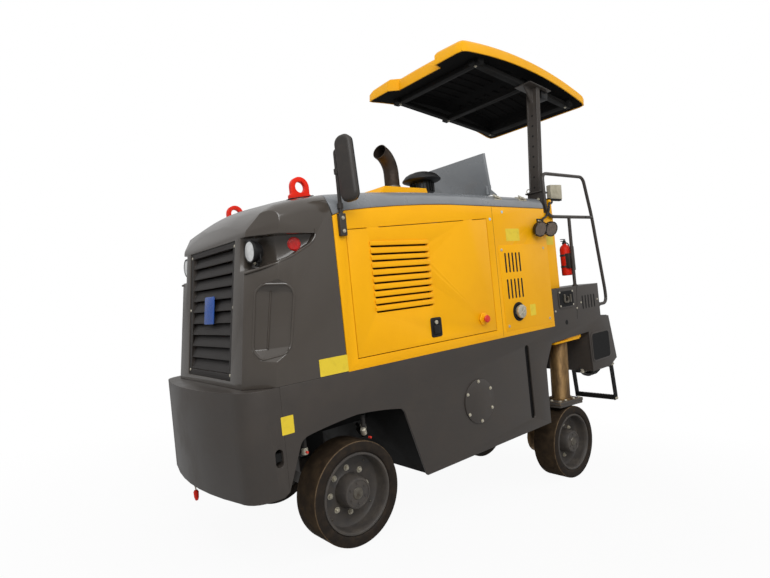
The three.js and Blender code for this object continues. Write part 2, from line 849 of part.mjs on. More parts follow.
add(body, "hood", hood(), hoodGrey);
add(body, "hood_cover", hoodCover(), yellow);
add(body, "exhaust_pipe", exhaust(), wornSteel);
add(body, "intake_cap", intakeCap(), blackPlastic);
addPair(body, "side_panel", sidePanel(), yellow);
addPair(body, "engine_door", engineDoor(), yellow);
add(body, "engine", join(engineBlock(), engineFeet()), graphite);

// ---- Mirror -------------------------------------------------------------------------------------
function mirror() {
  const head = new THREE.Shape();
  const [w, h, r] = [64, 190, 46];
  head.moveTo(-w + r, -h);
  head.lineTo(w - r, -h);
  head.quadraticCurveTo(w, -h, w, -h + r);
  head.lineTo(w, h - r);
  head.quadraticCurveTo(w, h, w - r, h);
  head.lineTo(-w + r, h);
  head.quadraticCurveTo(-w, h, -w, h - r);
  head.lineTo(-w, -h + r);
  head.quadraticCurveTo(-w, -h, -w + r, -h);
  const shell = new THREE.ExtrudeGeometry(head, { depth: 44, bevelEnabled: false, curveSegments: 4 });
  const [armX, headX] = [halfWidth + 12, halfWidth + 92];
  shell.rotateX(Math.PI / 2).rotateZ(0.25).rotateY(-0.06).translate(headX, -935, 2098);
  const arm = bentTube(
    [
      [armX, -962, 1740],
      [armX, -962, 2215],
      [armX + 28, -962, 2215],
      [armX + 28, -962, 2120],
    ],
    11,
    18,
    6,
  );
  const clamp = block(halfWidth + seatGap, armX + 16, -985, -940, 1735, 1862);
  const link = bar([armX, -962, 2098], [headX, -945, 2098], 10, 8);
  return join(clamp, arm, shell, link);
}

add(body, "mirror", mirror(), blackPlastic);

// ---- Console and its lid ------------------------------------------------------------------------
function consoleBox() {
  const y0 = lidHingeY + 20;
  const inner = halfWidth - panelThick - seatGap;
  const wall = block(-inner, inner, hoodRearY - 24, hoodRearY - 2, deckTop, 1890);
  const desk = alongX(
    shapeOf([
      [y0, 1700],
      [hoodRearY - 10, 1700],
      [hoodRearY - 10, consoleFloor + 20],
      [y0, consoleFloor + 110],
    ]),
    -lidHalf + 16,
    lidHalf - 16,
  );
  return join(wall, desk);
}

const lidOpen = 97; // degrees from closed
const lidRise = 14; // hinge axis over the crown of the hood

// The lid over the controls, hinged at its front edge and folded up; edges are turned down.
function consoleLid() {
  const length = hoodRearY - lidHingeY - 8;
  const sheet = block(-lidHalf, lidHalf, 0, length, -3, 3);
  const lip = block(-lidHalf, lidHalf, length - 6, length, -24, 0);
  const cheek = block(lidHalf - 6, lidHalf, 30, length, -24, 0);
  const knuckle = bar([-30, 0, 0], [30, 0, 0], lidRise - seatGap, 16);
  return join(sheet, lip, cheek, mirrored(cheek), knuckle);
}

add(body, "console", consoleBox(), graphite);
const lidHinge = new THREE.Group();
lidHinge.position.set(0, lidHingeY + 2, along(roofStations, lidHingeY) + roofCrown + lidRise);
lidHinge.rotation.x = THREE.MathUtils.degToRad(lidOpen);
body.add(lidHinge);
add(lidHinge, "console_lid", consoleLid(), hoodGrey);

// ---- Platform, fenders, rear box, step, rails ---------------------------------------------------
function fender() {
  const wall = 8;
  const [x0, x1, y0, y1, z1] = [360, innerHalf, fenderFrontY, fenderRearY - 2, fenderTop - seatGap];
  const outer = block(x0, x1, y0, y1, deckTop, z1);
  return cut(outer, block(x0 + wall, x1 + 5, y0 + wall, y1 - wall, deckTop - 5, z1 - wall));
}

function rearBox() {
  return alongX(
    shapeOf([
      [rearBoxFrontY + 10, rearBoxBottom],
      [1866, rearBoxBottom],
      [1992, 574],
      [platformRearY, deckTop - seatGap * 2 - deckThick],
      [rearBoxFrontY + 10, deckTop - seatGap * 2 - deckThick],
    ]),
    -innerHalf,
    innerHalf,
  );
}

// Two hangers and a serrated rung under the rear box.
function step() {
  const [xa, xb, w] = [190, 576, 8];
  const hanger = (x) =>
    alongX(
      shapeOf([
        [1880, 506],
        [1940, 530],
        [1968, 245],
        [1968, 190],
        [1912, 190],
        [1908, 245],
      ]),
      x,
      x + w,
    );
  const rung = block(xa, xb + w, 1915, 1965, 192, 222);
  const cleat = alongX(
    shapeOf([
      [1870, rearBoxBottom - 12 - seatGap],
      [1870, rearBoxBottom - seatGap],
      [1866, rearBoxBottom - seatGap],
      [1992, 574 - seatGap - 1],
      [1992, 560],
      [1900, 506],
    ]),
    xa,
    xb + w,
  );
  return join(hanger(xa), hanger(xb), rung, cleat);
}

const railX = halfWidth - 22;

function guardRail() {
  const x = railX;
  const r = 14;
  const loop = bentTube(
    [
      [x, 1718, 1872],
      [x, 1160, 1872],
      [x, 1112, 1935],
      [x, 1112, 2228],
      [x, 1745, 2232],
      [x, 1835, 1880],
      [x, 1938, 1150],
      [x, 1930, 1085],
      [x, 1800, 1085],
    ],
    r,
    60,
  );
  const post = bar([x, 1440, fenderTop + seatGap], [x, 1452, 1875], r, 10);
  const tie = bar([x, 1700, 1872], [x, 1838, 1872], r, 10);
  const foot = bar([x, 1440, fenderTop + seatGap], [x, 1440, fenderTop + 8], 26, 12);
  const boss = bar([x, fenderRearY + seatGap, 1085], [x, fenderRearY + 24, 1085], 22, 12);
  return join(loop, post, tie, foot, boss);
}

function extinguisher() {
  const [x, y, z, r] = [505, 1460, 1372, 44];
  const bottle = turnedUp(
    [
      [0, 0],
      [r - 6, 0],
      [r, 8],
      [r, 232],
      [r - 14, 262],
      [16, 276],
      [16, 318],
      [0, 318],
    ],
    14,
  ).translate(x, y, z);
  const strap = block(x + 20, railX - 14 - seatGap, y - 40, y + 22, z + 60, z + 170);
  return join(bottle, strap);
}

// Upright cover plate behind the side panel, standing on the fender against the console wall.
const fairingX = railX - 17; // outer face, just inside the rail
const fairingRearY = 1235;
const fairingTop = 1905;

function rearFairing() {
  const shape = shapeOf([
    [hoodRearY - 2 + seatGap, fenderTop],
    [fairingRearY, fenderTop],
    [fairingRearY, fairingTop],
    [hoodRearY - 2 + seatGap, fairingTop],
  ]);
  return alongX(shape, fairingX - 16, fairingX);
}

// A pair of round work lamps on a plate at the rear edge of the side panel, aimed out and down.
const workLampRadius = 61;
const workLampY = [886, 1033];
const workLampZ = 1756;

function workLamps() {
  const aim = new THREE.Vector3(0.91, -0.24, -0.3).normalize();
  const lamp = (y) => {
    const lens = new THREE.Vector3(halfWidth + 66, y, workLampZ);
    const back = lens.clone().addScaledVector(aim, -45);
    return bar(back.toArray(), lens.toArray(), workLampRadius, 16, workLampRadius - 3);
  };
  const middle = (workLampY[0] + workLampY[1]) / 2 + 8;
  const foot = block(halfWidth + seatGap, halfWidth + 10, middle - 34, middle + 34, 1752, 1848);
  const yoke = block(halfWidth + 8, halfWidth + 52, middle - 34, middle + 34, 1752, 1790);
  return join(foot, yoke, ...workLampY.map(lamp));
}

// A small square lamp box on a post that stands on the left fairing, inside the hand room of the rail.
function signalLamp() {
  const [y0, y1, y2, bottom] = [1196, 1232, 1400, 2026];
  const post = block(fairingX - 31, fairingX, y0, y1, fairingTop + seatGap, bottom);
  const shelf = block(fairingX - 31, fairingX, y0, y2, bottom - 12, bottom + 4);
  const lamp = block(-63, 63, -30, 30, 0, 132).rotateX(0.05).rotateZ(1.32).translate(fairingX - 53, 1368, bottom);
  return join(post, shelf, lamp);
}

addPair(body, "fender", fender(), graphite);
addPair(body, "rear_fairing", rearFairing(), yellow);
add(body, "work_lamps", workLamps(), blackPlastic);
add(body, "signal_lamp", signalLamp(), beige);
add(body, "rear_box", rearBox(), graphite);
add(body, "step", step(), blackPlastic);
addPair(body, "guard_rail", guardRail(), graphite);
add(body, "extinguisher", extinguisher(), red);

// ---- Operator seat ------------------------------------------------------------------------------
const seatX = -60;
const seatY = 1560;

function seatBase() {
  const post = block(seatX - 120, seatX + 120, seatY - 120, seatY + 120, deckTop, deckTop + 380);
  const pan = block(seatX - 200, seatX + 200, seatY - 190, seatY + 200, deckTop + 378, deckTop + 400);
  return join(post, pan);
}

function seatCushion() {
  const z = deckTop + 400 + seatGap;
  const pad = block(seatX - 230, seatX + 230, seatY - 220, seatY + 190, z, z + 90);
  const back = alongX(
    shapeOf([
      [seatY + 110, z + 80],
      [seatY + 215, z + 60],
      [seatY + 275, z + 470],
      [seatY + 200, z + 480],
    ]),
    seatX - 215,
    seatX + 215,
  );
  return join(pad, back);
}

add(body, "seat_base", seatBase(), blackPlastic);
add(body, "seat_cushion", seatCushion(), blackPlastic);

// ---- Canopy on its telescoping mast -------------------------------------------------------------
const mast = new THREE.Group();
mast.position.set(mastX, mastY, 1900);
mast.rotation.x = -THREE.MathUtils.degToRad(mastLean);
body.add(mast);

const mastWide = 100;
const mastDeep = 50;
const sleeveWall = 12;
const canopyFrontY = -975;
const canopyRearY = 715;
const ribY = [-690, -65, 560]; // cross beams under the canopy

function mastSleeve() {
  const [w, d] = [mastWide / 2 + sleeveWall, mastDeep / 2 + sleeveWall];
  const tube = block(-w, w, -d, d, -450, 190);
  const lowerFoot = block(-w, w, -40.9, 0, -440, -400);
  const upperFoot = block(-w, w, -85.4, 0, -50, -20);
  const collar = block(-w - 14, w + 14, -d - 14, d + 14, 178, 190);
  const [bw, bd] = [mastWide / 2 + runGap, mastDeep / 2 + runGap];
  const bore = block(-bw, bw, -bd, bd, -440, 200);
  return cut(join(tube, collar, lowerFoot, upperFoot), bore);
}

const mastTop = 1088;
const mastFoot = -60; // lower end of the inner tube while the canopy is raised

function mastTube() {
  const tube = block(-mastWide / 2, mastWide / 2, -mastDeep / 2, mastDeep / 2, mastFoot, mastTop);
  const gusset = alongX(
    shapeOf([
      [-20, mastTop - 140],
      [20, mastTop - 140],
      [140, mastTop],
      [-140, mastTop],
    ]),
    -8,
    8,
  );
  return join(tube, gusset, block(-80, 80, -150, 150, mastTop - 8, mastTop));
}

// Curved canopy roll between two stations, inset from the outer skin.
function canopyRoll(y0, y1, inset) {
  const [drop, edge, arc, count] = [62, 46, 3, 9];
  const middle = -mastX;
  const rise = (y) => 118 * (1 - ((y + 50) / 980) ** 2);
  const section = (y) => {
    const top = mastTop + drop + rise(y) - inset;
    const w = canopyHalf - inset;
    const points = [];
    for (let i = 0; i <= arc; i += 1) {
      const a = (i / arc) * (Math.PI / 2);
      points.push([w - edge + edge * Math.cos(a), top - edge + edge * Math.sin(a)]);
    }
    const right = [[w, top - drop - 30 - (inset ? 20 : 0)], ...points, [w / 2, top + 14]];
    const left = right.map(([x, z]) => [-x, z]).reverse();
    return [...right, [0, top + 18], ...left].map(([x, z]) => new THREE.Vector3(middle + x, y, z));
  };
  const rings = [];
  for (let i = count; i >= 0; i -= 1) rings.push(section(y0 + ((y1 - y0) * i) / count));
  return loft(rings);
}

const canopySheet = 16;

// Roof shell with a notched front edge, its edges turned down all round.
function canopy() {
  const wall = canopySheet;
  const notch = (grow) =>
    block(
      -mastX - 250 - grow,
      -mastX + 250 + grow,
      canopyFrontY - 20,
      canopyFrontY + 90 + grow,
      mastTop - 200,
      mastTop + 400,
    );
  const inner = cut(canopyRoll(canopyFrontY + wall, canopyRearY - wall, wall), notch(wall));
  return cut(canopyRoll(canopyFrontY, canopyRearY, 0), notch(0), inner);
}

// Cross beams on the mast head; the outer two rise as ribs to the skin they carry.
function canopyFrame() {
  const middle = -mastX;
  const z0 = mastTop + seatGap;
  const beam = (y, z1) => block(middle - canopyHalf + 60, middle + canopyHalf - 60, y - 30, y + 30, z0, z1);
  const rail = (x) => block(x - 25, x + 25, ribY[0] - 60, ribY[2] + 60, z0, mastTop + 40);
  const [front, centre, rear] = ribY;
  const under = canopyRoll(canopyFrontY + 30, canopyRearY - 30, canopySheet + seatGap);
  const ribs = common(join(beam(front, mastTop + 300), beam(rear, mastTop + 300)), under);
  const spread = canopyHalf - 120;
  return join(ribs, beam(centre, mastTop + 40), rail(middle - spread), rail(middle + spread));
}

add(mast, "mast_sleeve", mastSleeve(), graphite);
add(mast, "canopy_mast", mastTube(), graphite);
add(mast, "canopy_frame", canopyFrame(), blackPlastic);
add(mast, "canopy", canopy(), yellow);

// ---- Wheels -------------------------------------------------------------------------------------
const rimRadius = wheelRadius - tyreWall;
const wheelHalf = tyreWidth / 2;
const spindleRadius = 35;
const wheelFacets = 24;

// Solid tyre centred on its own middle plane, turned about X.
function tyre() {
  const chamfer = 12;
  return turned(
    [
      [rimRadius + seatGap, -wheelHalf + 6],
      [rimRadius + 14, -wheelHalf],
      [wheelRadius - chamfer, -wheelHalf],
      [wheelRadius, -wheelHalf + chamfer],
      [wheelRadius, wheelHalf - chamfer],
      [wheelRadius - chamfer, wheelHalf],
      [rimRadius + 14, wheelHalf],
      [rimRadius + seatGap, wheelHalf - 6],
      [rimRadius + seatGap, -wheelHalf + 6],
    ],
    wheelFacets,
  );
}

// Rim with a dished disc and a long hub; +X is the outer side.
function rim() {
  const disc = 22;
  return turned(
    [
      [0, disc],
      [spindleRadius + runGap, disc],
      [spindleRadius + runGap, -38],
      [78, -38],
      [78, disc - 8],
      [rimRadius - 26, disc - 8],
      [rimRadius - 20, -wheelHalf + 12],
      [rimRadius, -wheelHalf + 8],
      [rimRadius, wheelHalf - 8],
      [rimRadius - 16, wheelHalf - 4],
      [rimRadius - 20, disc + 22],
      [150, disc + 6],
      [104, disc + 10],
      [94, wheelHalf - 8],
      [0, wheelHalf - 8],
    ],
    wheelFacets,
  );
}

const wheelX = wheelOuterX - wheelHalf;

// A wheel turned so that a corner of its facets stands square on the ground.
function addWheel(parent, place, side, tilt) {
  const group = new THREE.Group();
  group.position.x = side * wheelX;
  group.rotation.set(-tilt, 0, side > 0 ? 0 : Math.PI);
  parent.add(group);
  const sideName = side > 0 ? "left" : "right";
  add(group, `tyre_${place}_${sideName}`, tyre(), rubber);
  add(group, `rim_${place}_${sideName}`, rim(), graphite);
}

// ---- Rear legs ----------------------------------------------------------------------------------
const flangeZ = wheelRadius + 8; // underside of the leg's foot, over the tyre
const legLift = 320; // travel of the leg
const housingLow = (housingBottom - wheelRadius + legExtension) / Math.cos(THREE.MathUtils.degToRad(legLean));
const housingHigh = (housingTop - wheelRadius + legExtension) / Math.cos(THREE.MathUtils.degToRad(legLean));

// Leg drawn about the wheel centre: inner tube, bolted foot, hanger plate and drive motor.
function rearLeg() {
  const tube = bar([columnX, 0, flangeZ + 40], [columnX, 0, housingHigh - legLift - 20], columnRadius, 20);
  const foot = block(columnX - 95, columnX + 97, -165, 165, flangeZ, flangeZ + 22);
  const plate = block(columnX - 115, columnX + 99, -172, 172, flangeZ + 21, flangeZ + 44);
  const hanger = alongX(
    shapeOf([
      [-120, flangeZ + 30],
      [-120, 60],
      [-90, -110],
      [90, -110],
      [120, 60],
      [120, flangeZ + 30],
    ]),
    columnX - 147,
    columnX - 117,
  );
  const shelf = block(columnX - 147, columnX - 90, -120, 120, flangeZ, flangeZ + 44);
  const motor = bar([columnX - 270, 0, 0], [columnX - 140, 0, 0], 134, 20);
  const neck = bar([columnX - 130, 0, 0], [wheelX - 42, 0, 0], 92, 16);
  const spindle = bar([wheelX - 45, 0, 0], [wheelX + 14, 0, 0], spindleRadius, 16);
  return join(tube, foot, plate, hanger, shelf, motor, neck, spindle);
}

function columnHousing() {
  const barrel = bar([columnX, 0, housingLow + 20], [columnX, 0, housingHigh], housingRadius, 20);
  const clamp = block(columnX - 130, innerHalf, -150, 190, housingLow, housingLow + 26);
  const bore = bar([columnX, 0, housingLow - 10], [columnX, 0, housingHigh - 10], columnRadius + runGap, 20);
  return cut(join(barrel, clamp), bore);
}

addPair(legs, "rear_leg", rearLeg(), wornSteel);
addPair(legs, "column_housing", columnHousing(), yellow);
[1, -1].forEach((side) => addWheel(legs, "rear", side, pitch - THREE.MathUtils.degToRad(legLean)));

// ---- Front axle, knuckles, steering -------------------------------------------------------------
const front = new THREE.Group();
front.position.set(0, frontAxleY, wheelRadius);
body.add(front);

const pinRadius = 25;
const rodRadius = 18;
const forkGap = 66; // half height of the axle's pin eye
const armZ = -96;

// Beam with a pivot block, an eye at each end and the steering cylinder along its rear face.
function frontAxle() {
  const beam = block(-285, 285, -55, 55, -55, 55);
  const pivot = block(-75, 75, -80, 80, 40, 420 - wheelRadius - seatGap);
  const eye = bar([kingpinX, 0, -forkGap], [kingpinX, 0, forkGap], 52, 16);
  const bore = bar([kingpinX, 0, -forkGap - 5], [kingpinX, 0, forkGap + 5], pinRadius + runGap, 16);
  const barrel = bar([-150, steerArm, armZ - 14], [150, steerArm, armZ - 14], 42, 16);
  const rodBore = bar([-160, steerArm, armZ - 14], [160, steerArm, armZ - 14], rodRadius + runGap, 12);
  const bracket = block(-60, 60, 40, steerArm, armZ - 10, -30);
  return cut(join(beam, pivot, eye, mirrored(eye), barrel, bracket), bore, mirrored(bore), rodBore);
}

// Fork round the axle eye, kingpin, wheel spindle and steering arm, drawn for the left side.
function knuckle() {
  const top = block(kingpinX - 50, kingpinX + 76, -45, 45, forkGap + 3, forkGap + 25);
  const bottom = block(kingpinX - 50, kingpinX + 76, -45, 45, -forkGap - 25, -forkGap - 3);
  const web = block(kingpinX + 57, kingpinX + 78, -60, 60, -forkGap - 25, forkGap + 25);
  const pin = bar([kingpinX, 0, -forkGap - 20], [kingpinX, 0, forkGap + 20], pinRadius, 16);
  const neck = bar([kingpinX + 70, 0, 0], [wheelX - 42, 0, 0], 62, 16);
  const spindle = bar([wheelX - 45, 0, 0], [wheelX + 14, 0, 0], spindleRadius, 16);
  const arm = block(kingpinX - 24, kingpinX + 24, -30, steerArm + 24, -forkGap - 22, -forkGap - 4);
  const stud = bar([kingpinX, steerArm, -forkGap - 15], [kingpinX, steerArm, armZ - 26], 11, 12);
  return join(top, bottom, web, pin, neck, spindle, arm, stud);
}

// Through rod of the steering cylinder, with slotted plates that drive the arm studs.
function steeringRod() {
  const z = armZ - 14;
  const rod = bar([-kingpinX + 40, steerArm, z], [kingpinX - 40, steerArm, z], rodRadius, 12);
  const plate = alongZ(
    (() => {
      const shape = shapeOf([
        [kingpinX - 55, steerArm - 45],
        [kingpinX + 30, steerArm - 45],
        [kingpinX + 30, steerArm + 30],
        [kingpinX - 55, steerArm + 30],
      ]);
      shape.holes.push(slot(kingpinX, steerArm - 9, 60, 32, true));
      return shape;
    })(),
    z - 6,
    z + 6,
    5,
  );
  return join(rod, plate, mirrored(plate));
}

add(front, "front_axle", frontAxle(), graphite);
addPair(front, "knuckle", knuckle(), graphite);
add(front, "steering_rod", steeringRod(), steel);
[1, -1].forEach((side) => addWheel(front, "front", side, pitch));

// ---- Drum ---------------------------------------------------------------------------------------
// Cutter housing: an arch of plate over the drum with end plates, hung under the deck.
function drumHousing() {
  const [x0, x1] = [-innerHalf, drumLeftX + 75];
  const under = deckTop - seatGap * 2 - deckThick;
  const shell = (grow, low) => {
    const shape = new THREE.Shape();
    const r = drumTip + 38 + grow;
    shape.moveTo(drumY - r, low);
    shape.lineTo(drumY + r, low);
    shape.lineTo(drumY + r, drumZ);
    shape.absarc(drumY, drumZ, r, 0, Math.PI, false);
    return shape;
  };
  const outer = alongX(shell(16, housingMouth), x0, x1, 10);
  const inner = alongX(shell(0, housingMouth - 30), x0 - 10, x1 - 16, 10);
  const hanger = block(x0 + 60, x1 - 60, drumY - 90, drumY + 90, drumZ + drumTip + 40, under);
  const axleHole = bar([x1 - 30, drumY, drumZ], [x1 + 10, drumY, drumZ], shaftRadius + 5, 20);
  return cut(join(cut(outer, inner), hanger), axleHole);
}

// Cutter drum with conical picks set in two opposed helices.
function drum() {
  const core = bar([drumRightX, drumY, drumZ], [drumLeftX, drumY, drumZ], drumCore, 24);
  const shaft = bar([drumLeftX - 5, drumY, drumZ], [drumLeftX + 110, drumY, drumZ], shaftRadius, 20);
  const picks = [];
  const count = 24;
  const reach = drumLeftX - drumRightX - 60;
  for (let i = 0; i < count; i += 1) {
    const turn = i * 2.4;
    const x = drumRightX + 30 + (reach * i) / (count - 1);
    const at = (r) => [x, drumY + r * Math.cos(turn), drumZ + r * Math.sin(turn)];
    picks.push(bar(at(drumCore - 12), at(drumTip), 26, 4, 6));
  }
  return join(core, shaft, ...picks);
}

function drumDrive() {
  const x0 = drumLeftX + 75 + seatGap;
  const under = deckTop - seatGap * 2 - deckThick;
  const caseBox = alongX(
    shapeOf([
      [drumY - 150, drumZ - 60],
      [drumY + 150, drumZ - 60],
      [drumY + 170, 520],
      [drumY + 120, under],
      [drumY - 120, under],
      [drumY - 170, 520],
    ]),
    x0,
    x0 + 160,
  );
  const bore = bar([x0 - 10, drumY, drumZ], [x0 + 60, drumY, drumZ], shaftRadius + runGap, 36);
  return cut(caseBox, bore);
}

add(body, "drum_housing", drumHousing(), graphite);
add(body, "cutter_drum", drum(), steel);
add(body, "drum_drive", drumDrive(), graphite);

// ---- Origin at the middle of the footprint box, on the ground -----------------------------------
machine.updateMatrixWorld(true);
const bounds = new THREE.Box3().setFromObject(machine);
const centre = bounds.getCenter(new THREE.Vector3());
parked.position.x -= centre.x;
parked.position.y -= centre.y;
parked.position.z -= bounds.min.z;

export default machine;
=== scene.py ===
import json
import math

import bmesh
import bpy
from bpy.props import FloatProperty, FloatVectorProperty, IntProperty, PointerProperty
from mathutils import Matrix, Vector


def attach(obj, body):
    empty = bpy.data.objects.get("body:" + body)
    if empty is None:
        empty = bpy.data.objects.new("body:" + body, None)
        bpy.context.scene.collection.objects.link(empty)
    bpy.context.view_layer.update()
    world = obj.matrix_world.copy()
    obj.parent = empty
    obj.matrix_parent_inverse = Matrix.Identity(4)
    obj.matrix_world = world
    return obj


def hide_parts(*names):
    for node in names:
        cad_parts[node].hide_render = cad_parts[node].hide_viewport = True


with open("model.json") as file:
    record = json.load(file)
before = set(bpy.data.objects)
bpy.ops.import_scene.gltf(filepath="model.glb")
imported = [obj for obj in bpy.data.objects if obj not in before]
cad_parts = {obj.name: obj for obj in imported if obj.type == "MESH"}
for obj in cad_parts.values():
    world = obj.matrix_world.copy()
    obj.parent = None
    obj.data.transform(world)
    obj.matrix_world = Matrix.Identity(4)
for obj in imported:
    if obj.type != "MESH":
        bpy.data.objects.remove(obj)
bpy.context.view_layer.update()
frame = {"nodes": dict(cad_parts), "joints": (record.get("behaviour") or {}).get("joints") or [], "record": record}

bl_info = {
    "name": "Compact cold planer finish",
    "version": (1, 0, 0),
    "blender": (4, 5, 0),
    "location": "View3D > Sidebar > Planer",
    "description": "Dresses the frame of a compact cold planer with paint, tyres, lamps, rails and a canopy",
    "category": "Object",
}

# ---- The machine's own frames, in millimetres ---------------------------------------------------
# The body is drawn level and pitched about the front axle; the left steering joint says where it is.
JOINTS = {joint["name"]: joint for joint in frame["joints"]}
STEER = JOINTS["steer_left"]
PITCH = math.atan2(-STEER["axis"][1], STEER["axis"][2])
KINGPIN = (330, -1007, 290)
TO_METRES = Matrix.Scale(0.001, 4)


def at(x, y, z):
    """A shift to a point."""
    return Matrix.Translation((x, y, z))


def lean(degrees):
    """A turn about the X axis."""
    return Matrix.Rotation(math.radians(degrees), 4, "X")


TO_KINGPIN = at(-KINGPIN[0], -KINGPIN[1], -KINGPIN[2])
BODY = at(*STEER["pos_m"]) @ Matrix.Rotation(PITCH, 4, "X") @ TO_METRES @ TO_KINGPIN
FRONT_AXLE = BODY @ at(0, KINGPIN[1], KINGPIN[2])
LEGS = BODY @ at(0, 1190, 0) @ lean(-4)
MAST = BODY @ at(480, 1135, 1900) @ lean(-6.5)
LID = BODY @ at(0, 702, 2076.25) @ lean(97)

ON_SIDE = Matrix(((0, 0, 1, 0), (1, 0, 0, 0), (0, 1, 0, 0), (0, 0, 0, 1)))  # (y, z, out) to the left
ON_FRONT = Matrix(((1, 0, 0, 0), (0, 0, -1, 0), (0, 1, 0, 0), (0, 0, 0, 1)))  # (x, z, out) to the front
MIRROR = Matrix.Diagonal((-1, 1, 1, 1))
SIDES = {"left": Matrix.Identity(4), "right": MIRROR}
HALF = 600  # centre line to the side plates
CHASSIS = "chassis"


# ---- Shapes -------------------------------------------------------------------------------------
def soften(bm, width, segments=2, angle=30):
    """Rounds every edge sharper than the angle."""
    edges = [e for e in bm.edges if len(e.link_faces) == 2 and e.calc_face_angle(0) > math.radians(angle)]
    bmesh.ops.bevel(
        bm,
        geom=edges,
        offset=width,
        offset_type="OFFSET",
        affect="EDGES",
        segments=segments,
        profile=0.5,
        material=-1,
        clamp_overlap=True,
    )
    return bm


def box(low, high, rounding=0, segments=2):
    """A block between two corners, its edges rounded where asked."""
    bm = bmesh.new()
    low, high = Vector(low), Vector(high)
    place = Matrix.Translation((low + high) / 2) @ Matrix.Diagonal((*(high - low), 1))
    bmesh.ops.create_cube(bm, size=1, matrix=place)
    return soften(bm, rounding, segments) if rounding else bm


def plate(outline, low, high, rounding=0, segments=2):
    """A flat outline of (a, b) points, extruded from low to high along its own Z."""
    bm = bmesh.new()
    face = bm.faces.new([bm.verts.new((a, b, low)) for a, b in outline])
    raised = bmesh.ops.extrude_face_region(bm, geom=[face])["geom"]
    verts = [v for v in raised if isinstance(v, bmesh.types.BMVert)]
    bmesh.ops.translate(bm, vec=(0, 0, high - low), verts=verts)
    bmesh.ops.recalc_face_normals(bm, faces=bm.faces)
    return soften(bm, rounding, segments) if rounding else bm


def rounded(a0, a1, b0, b1, radius, steps=5):
    """The outline of a rectangle with round corners."""
    outline = []
    corners = ((a1 - radius, b0 + radius, -90), (a1 - radius, b1 - radius, 0))
    corners += ((a0 + radius, b1 - radius, 90), (a0 + radius, b0 + radius, 180))
    for a, b, start in corners:
        for i in range(steps + 1):
            turn = math.radians(start + 90 * i / steps)
            outline.append((a + radius * math.cos(turn), b + radius * math.sin(turn)))
    return outline


def circle_points(count, radius):
    """Points (a, b) spread evenly round a circle."""
    turns = [k * math.tau / count for k in range(count)]
    return [(radius * math.cos(turn), radius * math.sin(turn)) for turn in turns]


def spun(profile, steps=48, closed=False):
    """A turned solid about Z from (radius, height) points that end on the axis or close on themselves."""
    bm = bmesh.new()
    points = [bm.verts.new((r, 0, h)) for r, h in profile]
    pairs = list(zip(points, points[1:]))
    if closed:
        pairs.append((points[-1], points[0]))
    for a, b in pairs:
        bm.edges.new((a, b))
    bmesh.ops.spin(
        bm,
        geom=bm.verts[:] + bm.edges[:],
        cent=(0, 0, 0),
        axis=(0, 0, 1),
        angle=math.tau,
        steps=steps,
        use_merge=True,
    )
    bmesh.ops.remove_doubles(bm, verts=bm.verts, dist=1e-3)
    bmesh.ops.recalc_face_normals(bm, faces=bm.faces)
    return bm


def filleted(points, bend, steps=6):
    """The stations of a route whose corners are rounded off."""
    points = [Vector(p) for p in points]
    route = [points[0]]
    for before, corner, after in zip(points, points[1:], points[2:]):
        start = corner + (before - corner).normalized() * bend
        end = corner + (after - corner).normalized() * bend
        for i in range(steps + 1):
            t = i / steps
            route.append(start * (1 - t) ** 2 + corner * 2 * t * (1 - t) + end * t**2)
    return route + [points[-1]]


def tube(points, radius, bend=0, resolution=4, capped=True):
    """A round tube along a route, with closed ends."""
    route = filleted(points, bend) if bend else [Vector(p) for p in points]
    curve = bpy.data.curves.new("route", "CURVE")
    curve.dimensions = "3D"
    curve.bevel_depth = radius
    curve.bevel_resolution = resolution
    curve.use_fill_caps = capped
    spline = curve.splines.new("POLY")
    spline.points.add(len(route) - 1)
    for point, station in zip(spline.points, route):
        point.co = (*station, 1)
    holder = bpy.data.objects.new("route", curve)
    bpy.context.scene.collection.objects.link(holder)
    bpy.context.view_layer.update()
    mesh = bpy.data.meshes.new_from_object(holder.evaluated_get(bpy.context.evaluated_depsgraph_get()))
    bm = bmesh.new()
    bm.from_mesh(mesh)
    bmesh.ops.remove_doubles(bm, verts=bm.verts, dist=1e-3)
    bpy.data.objects.remove(holder)
    bpy.data.curves.remove(curve)
    bpy.data.meshes.remove(mesh)
    return bm


def facing(point, direction):
    """Puts a shape's own Z along a direction at a point."""
    turn = Vector((0, 0, 1)).rotation_difference(Vector(direction).normalized())
    return Matrix.Translation(point) @ turn.to_matrix().to_4x4()


def hex_bolt(radius, height, stud=0):
    """A hexagon head on a washer, with a short stud end where asked."""
    bm = spun([(0, 0), (radius * 1.35, 0), (radius * 1.35, height * 0.2), (0, height * 0.2)], 16)
    head = bmesh.new()
    bmesh.ops.create_cone(
        head,
        cap_ends=True,
        segments=6,
        radius1=radius,
        radius2=radius,
        depth=height * 0.8,
        matrix=at(0, 0, height * 0.6),
    )
    append(bm, soften(head, radius * 0.1, 1))
    if stud:
        top = height + stud
        append(bm, spun([(0, height), (radius * 0.5, height), (radius * 0.45, top), (0, top)], 10))
    return bm


def button(radius, height, steps=14):
    """A low domed bolt head or rivet."""
    return spun(
        [(0, 0), (radius, 0), (radius * 0.92, height * 0.5), (radius * 0.55, height * 0.9), (0, height)],
        steps,
    )


def append(bm, part, place=None, material=0):
    """Adds a shape to another, placed and given one of the piece's materials."""
    for face in part.faces:
        face.material_index = material
    if place is not None:
        bmesh.ops.transform(part, matrix=place, verts=part.verts)
    mesh = bpy.data.meshes.new("part")
    part.to_mesh(mesh)
    part.free()
    bm.from_mesh(mesh)
    bpy.data.meshes.remove(mesh)
    return bm


